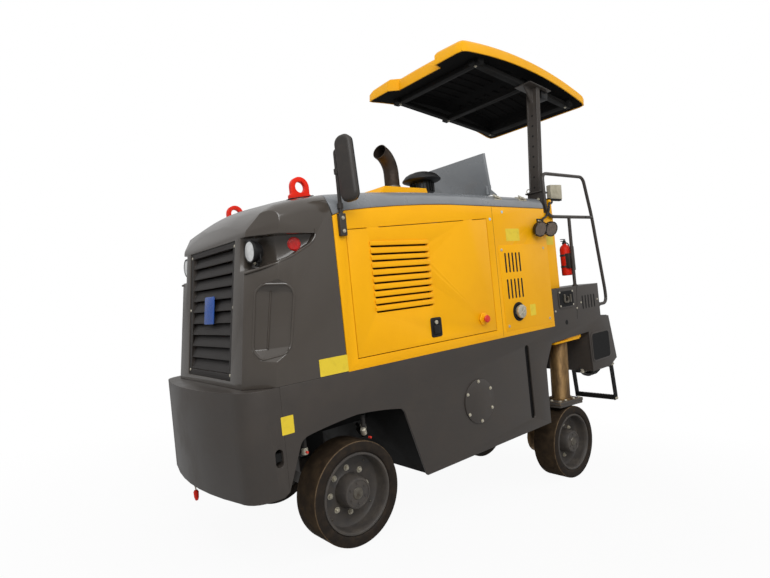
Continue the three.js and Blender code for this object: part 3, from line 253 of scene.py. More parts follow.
def piece(name, parts, place, body, slot, *materials, sharp=35, replaces=(), outward=True):
    """Makes one finished object of (shape, place, material index) parts, riding on a body."""
    bm = bmesh.new()
    for part in parts:
        shape, where, index = (*part, None, 0)[:3] if isinstance(part, tuple) else (part, None, 0)
        append(bm, shape, where, index or 0)
    bmesh.ops.transform(bm, matrix=place, verts=bm.verts)
    if outward:
        bmesh.ops.recalc_face_normals(bm, faces=bm.faces)
    mesh = bpy.data.meshes.new(name)
    bm.to_mesh(mesh)
    bm.free()
    for material in materials:
        mesh.materials.append(material)
    mesh.shade_smooth()
    mesh.set_sharp_from_angle(angle=math.radians(sharp))
    made = bpy.data.objects.new(name, mesh)
    bpy.context.scene.collection.objects.link(made)
    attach(made, body)
    if replaces:
        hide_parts(*replaces)
    return made


def scatter(shape, places):
    """Copies of one small shape, as parts of a piece."""
    mesh = bpy.data.meshes.new("copy")
    shape.to_mesh(mesh)
    shape.free()
    parts = []
    for place in places:
        copy = bmesh.new()
        copy.from_mesh(mesh)
        parts.append((copy, place))
    bpy.data.meshes.remove(mesh)
    return parts


NODE_BODY = {n: body for body, nodes in frame["record"]["behaviour"]["bodies"].items() for n in nodes}


def eased(node, material, width=3, segments=2, angle=25, sharp=35):
    """A copy of a frame node with its edges eased as pressed or ground metal has them, standing for it."""
    bm = bmesh.new()
    bm.from_mesh(frame["nodes"][node].data)
    bmesh.ops.remove_doubles(bm, verts=bm.verts, dist=2e-5)
    bmesh.ops.dissolve_limit(bm, angle_limit=math.radians(0.6), verts=bm.verts, edges=bm.edges)
    if width:
        soften(bm, width * 0.001, segments, angle)
    mesh = bpy.data.meshes.new(node + "_finish")
    bm.to_mesh(mesh)
    bm.free()
    mesh.materials.append(material)
    mesh.shade_smooth()
    mesh.set_sharp_from_angle(angle=math.radians(sharp))
    made = bpy.data.objects.new(node + "_finish", mesh)
    bpy.context.scene.collection.objects.link(made)
    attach(made, NODE_BODY[node])
    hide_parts(node)
    return made


# ---- Materials ----------------------------------------------------------------------------------
def linear(hex_colour):
    """An sRGB hex colour as the linear colour a socket takes."""
    values = [int(hex_colour[i : i + 2], 16) / 255 for i in (1, 3, 5)]
    return (*(v / 12.92 if v <= 0.04045 else ((v + 0.055) / 1.055) ** 2.4 for v in values), 1)


def per_metre(size_mm):
    """A noise scale that gives features of a real size."""
    return 1000 / size_mm


def add_node(tree, kind, inputs=None, **settings):
    """Adds a shader node with its settings; an input is a value or the socket that feeds it."""
    node = tree.nodes.new("ShaderNode" + kind)
    for key, value in settings.items():
        setattr(node, key, value)
    for key, value in (inputs or {}).items():
        if isinstance(value, bpy.types.NodeSocket):
            tree.links.new(value, node.inputs[key])
        else:
            node.inputs[key].default_value = value
    return node


def finish(
    name,
    colour,
    film,
    film_mm=180,
    cover=(0.45, 0.75),
    rough=0.4,
    dull=0.15,
    grain_mm=2.0,
    grain_depth=0.02,
    metallic=0.0,
    ior=1.5,
    coat=0.0,
    stretch=(1, 1, 1),
    pattern="TexNoise",
):
    """A surface of one colour under a patchy film of another, with a fine grain.

    Sizes and depths are in millimetres.
    """
    material = bpy.data.materials.new(name)
    material.use_nodes = True
    material.diffuse_color = linear(colour)
    tree = material.node_tree
    tree.nodes.clear()
    place = add_node(tree, "TexCoord").outputs["Object"]
    place = add_node(tree, "Mapping", {"Vector": place, "Scale": stretch}).outputs["Vector"]
    patches = add_node(
        tree, "TexNoise", {"Vector": place, "Scale": per_metre(film_mm), "Detail": 7, "Roughness": 0.62}
    )
    covered = add_node(
        tree, "MapRange", {"Value": patches.outputs["Fac"], "From Min": cover[0], "From Max": cover[1]}
    ).outputs["Result"]
    tint = add_node(
        tree, "Mix", {0: covered, 6: linear(colour), 7: linear(film)}, data_type="RGBA"
    ).outputs[2]
    sheen = add_node(
        tree, "MapRange", {"Value": covered, "To Min": rough, "To Max": min(1, rough + dull)}
    ).outputs["Result"]
    if pattern == "TexVoronoi":
        fine = add_node(tree, pattern, {"Vector": place, "Scale": per_metre(grain_mm)}).outputs["Distance"]
    else:
        fine = add_node(
            tree, pattern, {"Vector": place, "Scale": per_metre(grain_mm), "Detail": 3}
        ).outputs["Fac"]
    relief = add_node(tree, "Bump", {"Height": fine, "Strength": 1.0, "Distance": grain_depth * 0.001})
    shader = add_node(
        tree,
        "BsdfPrincipled",
        {
            "Base Color": tint,
            "Roughness": sheen,
            "Metallic": metallic,
            "IOR": ior,
            "Coat Weight": coat,
            "Coat Roughness": 0.08,
            "Normal": relief.outputs["Normal"],
        },
    )
    output = add_node(tree, "OutputMaterial")
    tree.links.new(shader.outputs["BSDF"], output.inputs["Surface"])
    return material


class PlanerColours(bpy.types.PropertyGroup):
    """The machine's paint colours, as the linear values Blender stores."""

    def swatch(label, about, hex_colour):
        return FloatVectorProperty(
            name=label, description=about, subtype="COLOR", min=0, max=1, default=linear(hex_colour)[:3]
        )

    yellow: swatch("Cover yellow", "Enamel of the side panels, doors and canopy", "#f6b008")
    graphite: swatch("Graphite", "Enamel of the nose, chassis and rails", "#3e3935")
    grey: swatch("Hood grey", "Gloss grey of the hood and console lid", "#7e8184")
    red: swatch("Eye red", "Enamel of the lifting eyes", "#ea2a14")


class PlanerSizes(bpy.types.PropertyGroup):
    """Sizes of the dressed pieces."""

    tyre_radius: FloatProperty(
        name="Tyre radius", description="Outside radius of the solid tyres", default=0.29, unit="LENGTH"
    )
    tyre_width: FloatProperty(name="Tyre width", description="Width of the tread", default=0.2, unit="LENGTH")
    wheel_bolts: IntProperty(
        name="Wheel bolts", description="Bolts that hold each rim to its hub", default=8, min=3
    )
    bolt_circle: FloatProperty(
        name="Bolt circle", description="Radius of the wheel bolt circle", default=0.126, unit="LENGTH"
    )
    rail_tube: FloatProperty(
        name="Rail tube", description="Radius of the guard rail tube", default=0.014, unit="LENGTH"
    )
    tool_holders: IntProperty(
        name="Cutting tools", description="Cutting tools round the drum", default=64, min=8
    )
    skin_rise: FloatProperty(
        name="Canopy rise", description="Rise of the canopy's curve", default=0.118, unit="LENGTH"
    )


class PlanerStage(bpy.types.PropertyGroup):
    """Light and floor round the machine."""

    key_power: FloatProperty(
        name="Key light", description="Power of the large soft light", default=170, min=0, unit="POWER"
    )
    sky: FloatProperty(
        name="Sky light", description="Strength of the even light from all round", default=0.7, min=0
    )
    floor_white: FloatProperty(
        name="Floor white", description="How far the floor is lifted to white", default=0.94, min=0, max=1
    )


def hex_of(values):
    """The sRGB hex of a stored linear colour."""
    encoded = [v * 12.92 if v <= 0.0031308 else 1.055 * v ** (1 / 2.4) - 0.055 for v in values]
    return "#" + "".join(f"{round(max(0, min(1, v)) * 255):02x}" for v in encoded)


MATERIALS = {}


def mix_paints(colours):
    """Mixes every finish on the machine."""
    yellow, graphite = hex_of(colours.yellow), hex_of(colours.graphite)
    # Two-coat alkyd enamel on sheet steel: a faint orange peel and soft gloss under road dust.
    MATERIALS["yellow_enamel"] = finish(
        "alkyd_enamel_yellow", yellow, "#f0a806", 420, (0.45, 0.8), 0.4, 0.12, 5, 0.02, ior=1.28
    )
    # The same yellow darkened as painted shade for a closed seam.
    MATERIALS["seam_yellow"] = finish(
        "seam_painted_shade_ochre", "#a8741a", "#8a5f16", 120, (0.45, 0.8), 0.7, 0.1, 5, 0.02, ior=1.3
    )
    # The same enamel in graphite on the nose and chassis, glossier, with a brown cast of dust low down.
    MATERIALS["graphite_enamel"] = finish(
        "alkyd_enamel_graphite", graphite, "#443d37", 260, (0.45, 0.8), 0.34, 0.18, 5, 0.03, coat=0.1
    )
    # Moulded glass-fibre covers sprayed graphite: a clear wet gloss with long wavy reflections.
    MATERIALS["gloss_cover"] = finish(
        "gelcoat_graphite", "#47413b", "#4c4640", 500, (0.5, 0.85), 0.16, 0.1, 60, 0.12, coat=0.55
    )
    MATERIALS["grey_enamel"] = finish(
        "alkyd_enamel_grey", hex_of(colours.grey), "#73767a", 320, (0.45, 0.8), 0.26, 0.14, 30, 0.05, coat=0.4
    )
    MATERIALS["red_enamel"] = finish(
        "alkyd_enamel_red", hex_of(colours.red), "#d22413", 90, (0.5, 0.8), 0.36, 0.15, 4, 0.03, ior=1.3
    )
    # Black powder coat on brackets and rungs: dead matt with a fine orange peel.
    MATERIALS["black_powder"] = finish(
        "powder_coat_black", "#131313", "#1e1c1a", 140, (0.45, 0.75), 0.6, 0.2, 2.5, 0.05, ior=1.3
    )
    # Injection-moulded ABS: an even leathery grain.
    MATERIALS["black_abs"] = finish(
        "moulded_abs_black", "#131314", "#1c1c1d", 60, (0.5, 0.8), 0.42, 0.15, 1.6, 0.06, pattern="TexVoronoi"
    )
    # Thermoformed lining of the canopy: dead matt.
    MATERIALS["black_lining"] = finish(
        "thermoformed_abs_black", "#141414", "#1b1a1a", 80, (0.45, 0.75), 0.8, 0.15, 2, 0.05, ior=1.15
    )
    # Grained polypropylene back of the mirror, dulled by dust.
    MATERIALS["grained_shell"] = finish(
        "grained_polypropylene", "#34302d", "#3f3934", 45, (0.45, 0.8), 0.5, 0.2, 1.8, 0.06,
        pattern="TexVoronoi",
    )
    MATERIALS["vinyl"] = finish(
        "seat_vinyl_black", "#1a1a1b", "#282726", 120, (0.5, 0.8), 0.5, 0.15, 2.2, 0.12, pattern="TexVoronoi"
    )
    # Pressed-on solid rubber: brown with milled asphalt dust; the lighter ring along the tread's shoulder is a
    # painted highlight.
    MATERIALS["tread_rubber"] = finish(
        "solid_rubber_tread", "#2f251b", "#483a2a", 70, (0.42, 0.72), 0.8, 0.18, 3, 0.35, ior=1.25
    )
    MATERIALS["wall_rubber"] = finish(
        "solid_rubber_wall", "#231d18", "#362c22", 55, (0.42, 0.75), 0.62, 0.25, 4, 0.2, ior=1.3
    )
    # A lighter rubber for the ring at the tyre's shoulder: a painted highlight where the edge catches the light.
    MATERIALS["scuffed_rubber"] = finish(
        "solid_rubber_painted_highlight", "#6a5843", "#413427", 40, (0.4, 0.7), 0.8, 0.1, 3, 0.3, ior=1.25
    )
    # Cast iron wheel in graphite paint, greyed with dust.
    MATERIALS["cast_wheel"] = finish(
        "cast_iron_painted", "#423e3b", "#544d45", 80, (0.4, 0.75), 0.45, 0.25, 6, 0.12
    )
    MATERIALS["zinc"] = finish(
        "zinc_plated_steel", "#d2ccba", "#93897a", 14, (0.5, 0.75), 0.34, 0.3, 1.5, 0.03, metallic=0.55
    )
    # Chromed ram tube under a baked film of brown dust, streaked along its length.
    MATERIALS["dusty_chrome"] = finish(
        "chrome_under_dust", "#9a7a4e", "#5a4630", 60, (0.38, 0.62), 0.36, 0.35, 3, 0.08,
        metallic=0.6,
        stretch=(1, 1, 0.25),
    )
    MATERIALS["bare_steel"] = finish(
        "ground_steel", "#8c877d", "#5d554a", 40, (0.4, 0.7), 0.35, 0.3, 2, 0.04, metallic=0.9
    )
    MATERIALS["burnt_steel"] = finish(
        "heat_tinted_steel", "#4b3f35", "#2e2723", 70, (0.35, 0.7), 0.42, 0.25, 3, 0.06, metallic=0.55
    )
    MATERIALS["carbide"] = finish(
        "tungsten_carbide", "#6a6862", "#4a453d", 10, (0.4, 0.7), 0.3, 0.2, 1.5, 0.03, metallic=0.9
    )
    # Polycarbonate lens over a bright reflector: pale and glassy.
    MATERIALS["lens"] = finish(
        "polycarbonate_lens", "#e6e7e6", "#cfd1d2", 22, (0.45, 0.7), 0.1, 0.1, 7, 0.5, ior=1.58, coat=0.6
    )
    MATERIALS["dark_lens"] = finish(
        "polycarbonate_smoked", "#6a5c50", "#4e443b", 18, (0.45, 0.7), 0.15, 0.15, 6, 0.5, ior=1.58, coat=0.6
    )
    MATERIALS["red_lens"] = finish(
        "acrylic_red", "#d81a14", "#b01410", 16, (0.45, 0.7), 0.14, 0.12, 5, 0.6, ior=1.49, coat=0.6
    )
    # Silvered glass.
    MATERIALS["mirror_glass"] = finish(
        "silvered_glass", "#dfe3e6", "#cfd3d6", 120, (0.5, 0.9), 0.03, 0.03, 50, 0.005, metallic=1.0
    )
    # Printed vinyl left blank: flat and slightly dusty.
    MATERIALS["blank_label"] = finish(
        "vinyl_label_yellow", "#e6c92e", "#d6b828", 40, (0.5, 0.8), 0.45, 0.1, 3, 0.01
    )
    MATERIALS["pale_plug"] = finish(
        "polyethylene_plug", "#a9cfe0", "#93b6c4", 20, (0.5, 0.8), 0.4, 0.1, 3, 0.01
    )
    MATERIALS["blank_badge"] = finish(
        "enamelled_plate_blue", "#2352a4", "#1d4790", 30, (0.5, 0.8), 0.25, 0.1, 4, 0.01, coat=0.4
    )
    MATERIALS["beige_box"] = finish(
        "painted_aluminium_beige", "#b7b09b", "#9d967f", 60, (0.45, 0.75), 0.4, 0.2, 3, 0.05
    )
    MATERIALS["red_plastic"] = finish(
        "moulded_nylon_red", "#d8382a", "#b82d20", 20, (0.5, 0.8), 0.35, 0.1, 2, 0.03
    )
    MATERIALS["hose"] = finish(
        "braided_hose_cover", "#1f1e1e", "#35302b", 30, (0.45, 0.7), 0.6, 0.2, 2, 0.2, pattern="TexVoronoi"
    )
    # Ribbed filter mat behind the slats: dark, rough and finely waved.
    MATERIALS["filter_mat"] = finish(
        "filter_mat_dark", "#2b2928", "#3c3836", 12, (0.4, 0.7), 0.6, 0.25, 9, 2.2, stretch=(1, 1, 2.4)
    )
    MATERIALS["shadow_black"] = finish(
        "inside_shadow_black", "#0c0c0c", "#131211", 80, (0.5, 0.8), 0.8, 0.1, 4, 0.02
    )


# ---- Stage --------------------------------------------------------------------------------------
CAMERA_PLACE = (3001.1, -2676.3, 1420.6)
CAMERA_RIGHT = (0.6343, 0.76655, -0.10033)
CAMERA_DOWN = (-0.06484, -0.07657, -0.99495)
CAMERA_AHEAD = (-0.77036, 0.63761, 0.00113)
CAMERA_LENS = 24.456


def set_camera():
    """Stands at the front left corner, low, looking along the machine."""
    right, down, ahead = (Vector(v) for v in (CAMERA_RIGHT, CAMERA_DOWN, CAMERA_AHEAD))
    turn = Matrix((right, -down, -ahead)).transposed()
    camera_data = bpy.data.cameras.new("view")
    camera_data.sensor_width = 36
    camera_data.lens = CAMERA_LENS
    camera_data.shift_x = 0.0003
    camera_data.shift_y = -0.0018
    camera_data.clip_end = 200
    camera = bpy.data.objects.new("view", camera_data)
    place = Matrix.Translation(BODY @ Vector(CAMERA_PLACE))
    camera.matrix_world = place @ Matrix.Rotation(PITCH, 4, "X") @ turn.to_4x4()
    bpy.context.scene.collection.objects.link(camera)
    bpy.context.scene.camera = camera


FAINT_SHEEN = 0.2  # a lamp below this isn't seen in gloss at all


def soft_light(name, power, size, place, sheen=1.0, target=(0, 0, 1.2)):
    """A large soft lamp that looks at the middle of the machine; sheen is how much it shows in gloss."""
    light = bpy.data.lights.new(name, "AREA")
    light.specular_factor = sheen
    light.shape = "RECTANGLE"
    light.size, light.size_y = size
    light.energy = power
    lamp = bpy.data.objects.new(name, light)
    lamp.visible_glossy = sheen > FAINT_SHEEN
    aim = (Vector(target) - Vector(place)).to_track_quat("-Z", "Y")
    lamp.matrix_world = Matrix.Translation(place) @ aim.to_matrix().to_4x4()
    bpy.context.scene.collection.objects.link(lamp)


def pale_world(strength):
    """Even light from all round, with a white backdrop."""
    world = bpy.data.worlds.new("pale")
    bpy.context.scene.world = world
    world.use_nodes = True
    tree = world.node_tree
    tree.nodes.clear()
    path = add_node(tree, "LightPath").outputs
    seen = see_backdrop(tree, path)
    height = add_node(tree, "SeparateXYZ", {0: add_node(tree, "TexCoord").outputs["Generated"]}).outputs["Z"]
    # The even light is stronger from above than from the horizon, and so is the white seen in paint.
    ends = {"Value": height, "From Min": -0.05, "From Max": 0.8}
    sky = add_node(tree, "MapRange", {**ends, "To Min": strength * 0.5, "To Max": strength * 1.3}).outputs[0]
    pale = add_node(tree, "MapRange", {**ends, "To Min": 0.24, "To Max": 0.8}).outputs[0]
    behind = add_node(tree, "Math", {0: pale, 1: path["Is Camera Ray"]}, operation="MAXIMUM").outputs[0]
    light = add_node(tree, "Background", {"Color": (1, 1, 1, 1), "Strength": sky})
    backdrop = add_node(tree, "Background", {"Color": (1, 1, 1, 1), "Strength": behind})
    mixed = add_node(tree, "MixShader", {0: seen, 1: light.outputs[0], 2: backdrop.outputs[0]})
    output = add_node(tree, "OutputWorld")
    tree.links.new(mixed.outputs[0], output.inputs["Surface"])


def see_backdrop(tree, path):
    """One where the backdrop is seen, straight or in metal and glass."""
    seen = add_node(tree, "Math", {0: path["Is Camera Ray"], 1: path["Is Glossy Ray"]}, operation="MAXIMUM")
    clear = {0: seen.outputs[0], 1: path["Is Transmission Ray"]}
    return add_node(tree, "Math", clear, operation="MAXIMUM").outputs[0]


def pale_floor(white):
    """A pale matt floor that keeps the shadows near the machine and fades to white away from it."""
    bm = bmesh.new()
    bmesh.ops.create_grid(bm, x_segments=1, y_segments=1, size=60)
    mesh = bpy.data.meshes.new("floor")
    bm.to_mesh(mesh)
    bm.free()
    floor = bpy.data.objects.new("floor", mesh)
    bpy.context.scene.collection.objects.link(floor)
    material = bpy.data.materials.new("plain_pale_floor")
    material.use_nodes = True
    tree = material.node_tree
    tree.nodes.clear()
    path = add_node(tree, "LightPath").outputs
    matt = add_node(tree, "BsdfDiffuse", {"Color": (0.5, 0.5, 0.5, 1)})
    bright = add_node(
        tree, "MapRange", {"Value": path["Is Camera Ray"], "To Min": 0.35, "To Max": 1.0}
    ).outputs[0]
    glow = add_node(tree, "Emission", {"Color": (1, 1, 1, 1), "Strength": bright})
    place = add_node(tree, "TexCoord").outputs["Object"]
    away = add_node(tree, "VectorMath", {0: place}, operation="LENGTH").outputs["Value"]
    edge = {"Value": away, "From Min": 1.8, "From Max": 4.2, "To Min": white, "To Max": 1.0}
    paler = add_node(tree, "MapRange", edge).outputs[0]
    share = add_node(tree, "Math", {0: see_backdrop(tree, path), 1: paler}, operation="MULTIPLY")
    mixed = add_node(tree, "MixShader", {0: share.outputs[0], 1: matt.outputs[0], 2: glow.outputs[0]})
    output = add_node(tree, "OutputMaterial")
    tree.links.new(mixed.outputs[0], output.inputs["Surface"])
    mesh.materials.append(material)


# ---- Front end ----------------------------------------------------------------------------------
NOSE_FOOT = (-1582, 977)  # (y, z) of the grille face where it starts
NOSE_LEAN = 0.13  # how far the face leans back for each unit of height
GRILLE_LOW, GRILLE_HIGH = 1012, 1755
GRILLE_HALF = (318, 338)


def nose_face_y(z):
    """Where the nose's face is at a height."""
    return NOSE_FOOT[0] + NOSE_LEAN * (z - NOSE_FOOT[1])


def dress_grille():
    """Finishes the grille with its filter mat, screws and blank badge."""
    m = MATERIALS
    grille = eased("grille", m["graphite_enamel"], 1.5)
    grille.data.materials.append(m["filter_mat"])
    # The blades carry a ribbed mat on their outer faces; the frame round them is painted.
    level = BODY.inverted()
    for face in grille.data.polygons:
        x, _, z = level @ face.center
        inside = abs(x) < GRILLE_HALF[0] - 32 and GRILLE_LOW + 32 < z < GRILLE_HIGH - 32
        if inside and face.normal.y < -0.5:
            face.material_index = 1
    corners = [
        (x * (GRILLE_HALF[z > 1400] - 16), nose_face_y(z) + 7, z)
        for x in (-1, 1)
        for z in (1040, 1400.1, 1728)
    ]
    screws = scatter(button(9, 5), [facing(p, (0, -1, NOSE_LEAN)) for p in corners])
    piece("grille_screws", screws, BODY, CHASSIS, "bare_steel", m["zinc"])
    z = 1392
    badge = plate(rounded(-70, 70, -80, 80, 10), 0, 6, 2)
    tilt = at(0, nose_face_y(z) + 3, z) @ Matrix.Rotation(-NOSE_LEAN, 4, "X") @ ON_FRONT
    piece("blank_badge", [(badge, tilt)], BODY, CHASSIS, "black_plastic", m["blank_badge"])


HEADLAMP, HEADLAMP_RADIUS = (471, -1452, 1680), 61
SIDE_LAMP = (524, -1232, 1708)


def dress_headlamps():
    """Fits the headlamps and the red side lamps."""
    m = MATERIALS
    (x, y, z), r = HEADLAMP, HEADLAMP_RADIUS
    for side, flip in SIDES.items():
        cup = spun(
            [
                (0, -46),
                (r - 24, -46),
                (r - 8, -20),
                (r - 2, 0),
                (r, 6),
                (r, 16),
                (r - 5, 18),
                (r - 7, 12),
                (0, 12),
            ],
            40,
        )
        lens = spun([(0, 13), (r - 8, 13), (r - 10, 16), (r * 0.5, 18), (0, 19)], 40)
        aim = facing((x, y, z), (0, -1, 0))
        stem = box((x - 14, y + 14, 1602), (x + 14, y + 32, z - 34), 3)
        yoke = tube(
            [(x - 44, y + 20, z), (x - 44, y + 24, z - 62), (x + 44, y + 24, z - 62), (x + 44, y + 20, z)],
            6,
            18,
            2,
        )
        knob = scatter(hex_bolt(9, 8), [facing((x, y + 10, 1622), (0, -1, 0))])
        parts = [(cup, flip @ aim), (lens, flip @ aim, 1), (stem, flip), (yoke, flip)]
        parts += [(head, flip @ spot, 2) for head, spot in knob]
        piece(
            f"headlamp_{side}_finish",
            parts,
            BODY,
            CHASSIS,
            "lamp_glass",
            m["black_abs"],
            m["lens"],
            m["zinc"],
            replaces=(f"headlamp_{side}",),
        )
        wall = Vector((210, -60, 0)).normalized()
        spot = facing(Vector(SIDE_LAMP) + wall * 0.5, wall)
        rim = spun([(0, 0), (37, 0), (37, 8), (33, 10), (0, 10)], 32)
        glow = spun([(0, 10), (33, 10), (31, 12.5), (0, 13)], 32)
        piece(
            f"side_lamp_{side}",
            [(rim, flip @ spot), (glow, flip @ spot, 1)],
            BODY,
            CHASSIS,
            "red_paint",
            m["red_lens"],
            m["red_lens"],
        )


EYE_X, EYE_Y = 440, -1112  # foot of the left lifting eye
ROOF_AT_EYE = 1971  # height of the roof's shoulders there
ROOF_CROWN, ROOF_HALF = 34, 512  # rise of the roof over its shoulders, and half its width between them


def dress_nose():
    """Finishes the bumper, nose cover, lifting eyes and blank labels."""
    m = MATERIALS
    eased("nose_cover", m["gloss_cover"], 5, 3)
    eased("front_bumper", m["graphite_enamel"], 6, 3)
    for side in SIDES:
        eased(f"lifting_eye_{side}", m["red_enamel"], 3, 3)
    for side, flip in SIDES.items():
        pad = box((EYE_X - 26, EYE_Y - 78, 0), (EYE_X + 26, EYE_Y + 78, 4), 1)
        height = ROOF_AT_EYE + ROOF_CROWN * (1 - (EYE_X / ROOF_HALF) ** 2) - 2
        piece(
            f"lifting_pad_{side}",
            [(pad, flip @ at(0, EYE_Y, height) @ lean(8.5) @ at(0, -EYE_Y, 0))],
            BODY,
            CHASSIS,
            "black_plastic",
            m["black_abs"],
        )
        label = plate(rounded(-1194, -1008, 982, 1075, 4), HALF + 0.2, HALF + 1.2)
        small = plate(rounded(-1451, -1380, 733, 825, 4), HALF + 0.2, HALF + 1.2)
        piece(
            f"blank_labels_{side}",
            [(label, flip @ ON_SIDE), (small, flip @ ON_SIDE)],
            BODY,
            CHASSIS,
            "yellow_paint",
            m["blank_label"],
        )
        # Rolled edges of the pocket and the lamp bay, which catch the light.
        rim = [
            (507, -1476, 1472), (540, -1443, 1504), (598, -1334, 1494), (599, -1301, 1448), (599, -1350, 1172)
        ]
        rim += [
            (598, -1386, 1136), (540, -1492, 1118), (503, -1518, 1172), (507, -1476, 1472), (540, -1443, 1504)
        ]
        beads = [tube(rim, 7, 26, 3), tube([(519, -1394, 1462), (513, -1440, 1170)], 6, 0, 3)]
        lip = [
            (472, -1508, 1568), (540, -1445, 1586), (596, -1376, 1606), (599, -1290, 1638), (599, -1165, 1704)
        ]
        beads.append(tube([*lip, (599, -1130, 1750), (599, -1134, 1762)], 6, 26, 3))
        parts = [(bead, flip) for bead in beads]
        piece(f"nose_beads_{side}", parts, BODY, CHASSIS, "graphite_paint", m["gloss_cover"])
        hollow = plate(rounded(-1521, -1435, 604, 646, 20.9), HALF - 59.5, HALF - 20)
        piece(
            f"tie_down_shade_{side}",
            [(hollow, flip @ ON_SIDE)],
            BODY,
            CHASSIS,
            "black_plastic",
            m["shadow_black"],
        )
    # A pin and its short chain hang under the bumper.
    links = []
    for i in range(3):
        ring = tube(
            [(math.cos(t) * 7, 0, math.sin(t) * 12) for t in (k * math.tau / 12 for k in range(13))],
            2.4,
            0,
            2,
            False,
        )
        links.append(
            (ring, at(-118, -1668, 414 - 19 * i) @ Matrix.Rotation(math.pi / 2 * (i % 2), 4, "Z"), 0)
        )
    pin = spun([(0, 0), (8, 4), (13, 20), (15, 52), (10, 62), (0, 62)], 16)
    links.append((pin, at(-118, -1668, 300), 1))
    piece("lashing_pin", links, BODY, CHASSIS, "red_paint", m["zinc"], m["red_enamel"])


# ---- Side panels and doors ----------------------------------------------------------------------
LOUVRES = (1289, 1331, 1374, 1416, 1459, 1502, 1545, 1590, 1630, 1676)
LOUVRE_MIDDLE, LOUVRE_LENGTH = -533, 468
DOOR_LOCK, STOP_BUTTON = (-295, 1170), (172, 1138)  # (y, z) on the door


def dress_doors():
    """Finishes the engine doors with louvres, latches and stop buttons."""
    m = MATERIALS
    for side, flip in SIDES.items():
        door = f"door_{side}"
        eased(f"engine_door_{side}", m["yellow_enamel"], 2, 2)
        parts = []
        for z in LOUVRES:
            # A pressed louvre: a long half-round brow over its slot.
            low = (LOUVRE_MIDDLE - LOUVRE_LENGTH / 2 - 6, z + 1, 0)
            brow = box(low, (LOUVRE_MIDDLE + LOUVRE_LENGTH / 2 + 6, z + 27, 9), 8, 4)
            parts.append((brow, flip @ ON_SIDE @ at(0, 0, HALF - 0.4)))
        piece(f"louvres_{side}", parts, BODY, door, "yellow_paint", m["yellow_enamel"])
        bezel = plate(rounded(-342, -244, 1075, 1201, 16), 0, 5, 2)
        well = plate(rounded(-332, -254, 1087, 1189, 12), 5, 6)
        paddle = plate(rounded(-322, -268, 1096, 1150, 8), 6, 14, 3)
        lock = spun([(0, 6), (13, 6), (13, 12), (10, 14), (0, 14)], 20)
        place = flip @ ON_SIDE @ at(0, 0, HALF - 1)
        latch = [(bezel, place), (well, place, 1), (paddle, place), (lock, place @ at(*DOOR_LOCK, 0), 2)]
        piece(
            f"door_latch_{side}",
            latch,
            BODY,
            door,
            "black_plastic",
            m["black_abs"],
            m["shadow_black"],
            m["zinc"],
        )
        guard = plate(circle_points(6, 46), 0, 14, 5, 3)
        collar = spun([(0, 14), (26, 14), (26, 20), (19, 22), (0, 22)], 24)
        mushroom = spun([(0, 22), (14, 22), (14, 32), (25, 34), (27, 40), (22, 47), (0, 49)], 28)
        place = flip @ ON_SIDE @ at(*STOP_BUTTON, HALF)
        stop = [(guard, place), (collar, place), (mushroom, place, 1)]
        piece(f"stop_button_{side}", stop, BODY, door, "red_paint", m["yellow_enamel"], m["red_plastic"])
        # A dark sheet inside the door: painted shade of the bay seen through the louvres.
        inner = plate([(-930, 1041), (311, 1041), (311, 1835), (-930, 1766)], HALF - 60, HALF - 54)
        piece(
            f"door_shade_sheet_{side}", [(inner, flip @ ON_SIDE)], BODY, door, "black_plastic", m["shadow_black"]
        )


PLUGS = ((504, 1896), (356, 1841))  # (y, z) of the plastic plugs high on the side panel
FILLER_CAP = (588, 1146)
ROUND_COVER = (48, 586)  # (y, z) of the round bolted cover on the side frame


def dress_side_panels():
    """Finishes the side panels, service covers and filler caps."""
    m = MATERIALS
    for side, flip in SIDES.items():
        eased(f"side_panel_{side}", m["yellow_enamel"], 2, 2)
        place = flip @ ON_SIDE @ at(0, 0, HALF)
        cover = plate(rounded(420, 1018, 1015, 1650, 10), -1, 2.2, 1)
        parts = [(cover, place)]
        vents = [(488 + i * 43, z) for z in (1518, 1322) for i in range(5)]
        # A dark slot, and the pressed lip round it.
        for wide, tall, low, high, paint in ((9, 74, 2.2, 2.8, 1), (12, 77, 2.0, 2.5, 0)):
            for y, z in vents:
                outline = rounded(y - wide, y + wide, z - tall, z + tall, wide - 0.1)
                parts.append((plate(outline, low, high), place, paint))
        piece(
            f"service_cover_{side}",
            parts,
            BODY,
            CHASSIS,
            "yellow_paint",
            m["yellow_enamel"],
            m["shadow_black"],
        )
        spots = [(453, 1614), (985, 1614), (983, 1051), (457, 1050)]
        heads = scatter(button(11, 6), [place @ at(a, b, 2) for a, b in spots])
        plugs = scatter(button(11, 5), [place @ at(*p, 0) for p in PLUGS])
        piece(f"panel_plugs_{side}", plugs, BODY, CHASSIS, "black_plastic", m["pale_plug"])
        piece(f"service_bolts_{side}", heads, BODY, CHASSIS, "bare_steel", m["zinc"])
        ring = spun([(0, 2), (71, 2), (71, 6), (58, 9), (58, 5), (0, 5)], 40)
        cap = spun([(0, 4), (42, 4), (42, 20), (50, 22), (50, 34), (44, 38), (20, 38), (18, 34), (0, 34)], 36)
        grip = box((-50, -5, 26), (50, 5, 42), 3)
        neck = place @ at(*FILLER_CAP, 0)
        parts = [(ring, neck, 1), (cap, neck), (grip, neck @ Matrix.Rotation(0.6, 4, "Z"))]
        piece(f"filler_cap_{side}", parts, BODY, CHASSIS, "bare_steel", m["zinc"], m["shadow_black"])
        plates = [
            plate(rounded(524, 690, 1678, 1772, 4), 0, 1), plate(rounded(732, 804, 1097, 1184, 4), 2.2, 3)
        ]
        piece(
            f"panel_labels_{side}",
            [(p, place) for p in plates],
            BODY,
            CHASSIS,
            "yellow_paint",
            m["blank_label"],
        )
        # A darker strip over the gap between the panels: painted shade of the closed seam.
        seam = plate([(381, 985), (385, 985), (389, 1928), (385, 1928)], -0.5, 0.4)
        piece(f"panel_seam_{side}", [(seam, place)], BODY, CHASSIS, "yellow_paint", m["seam_yellow"])


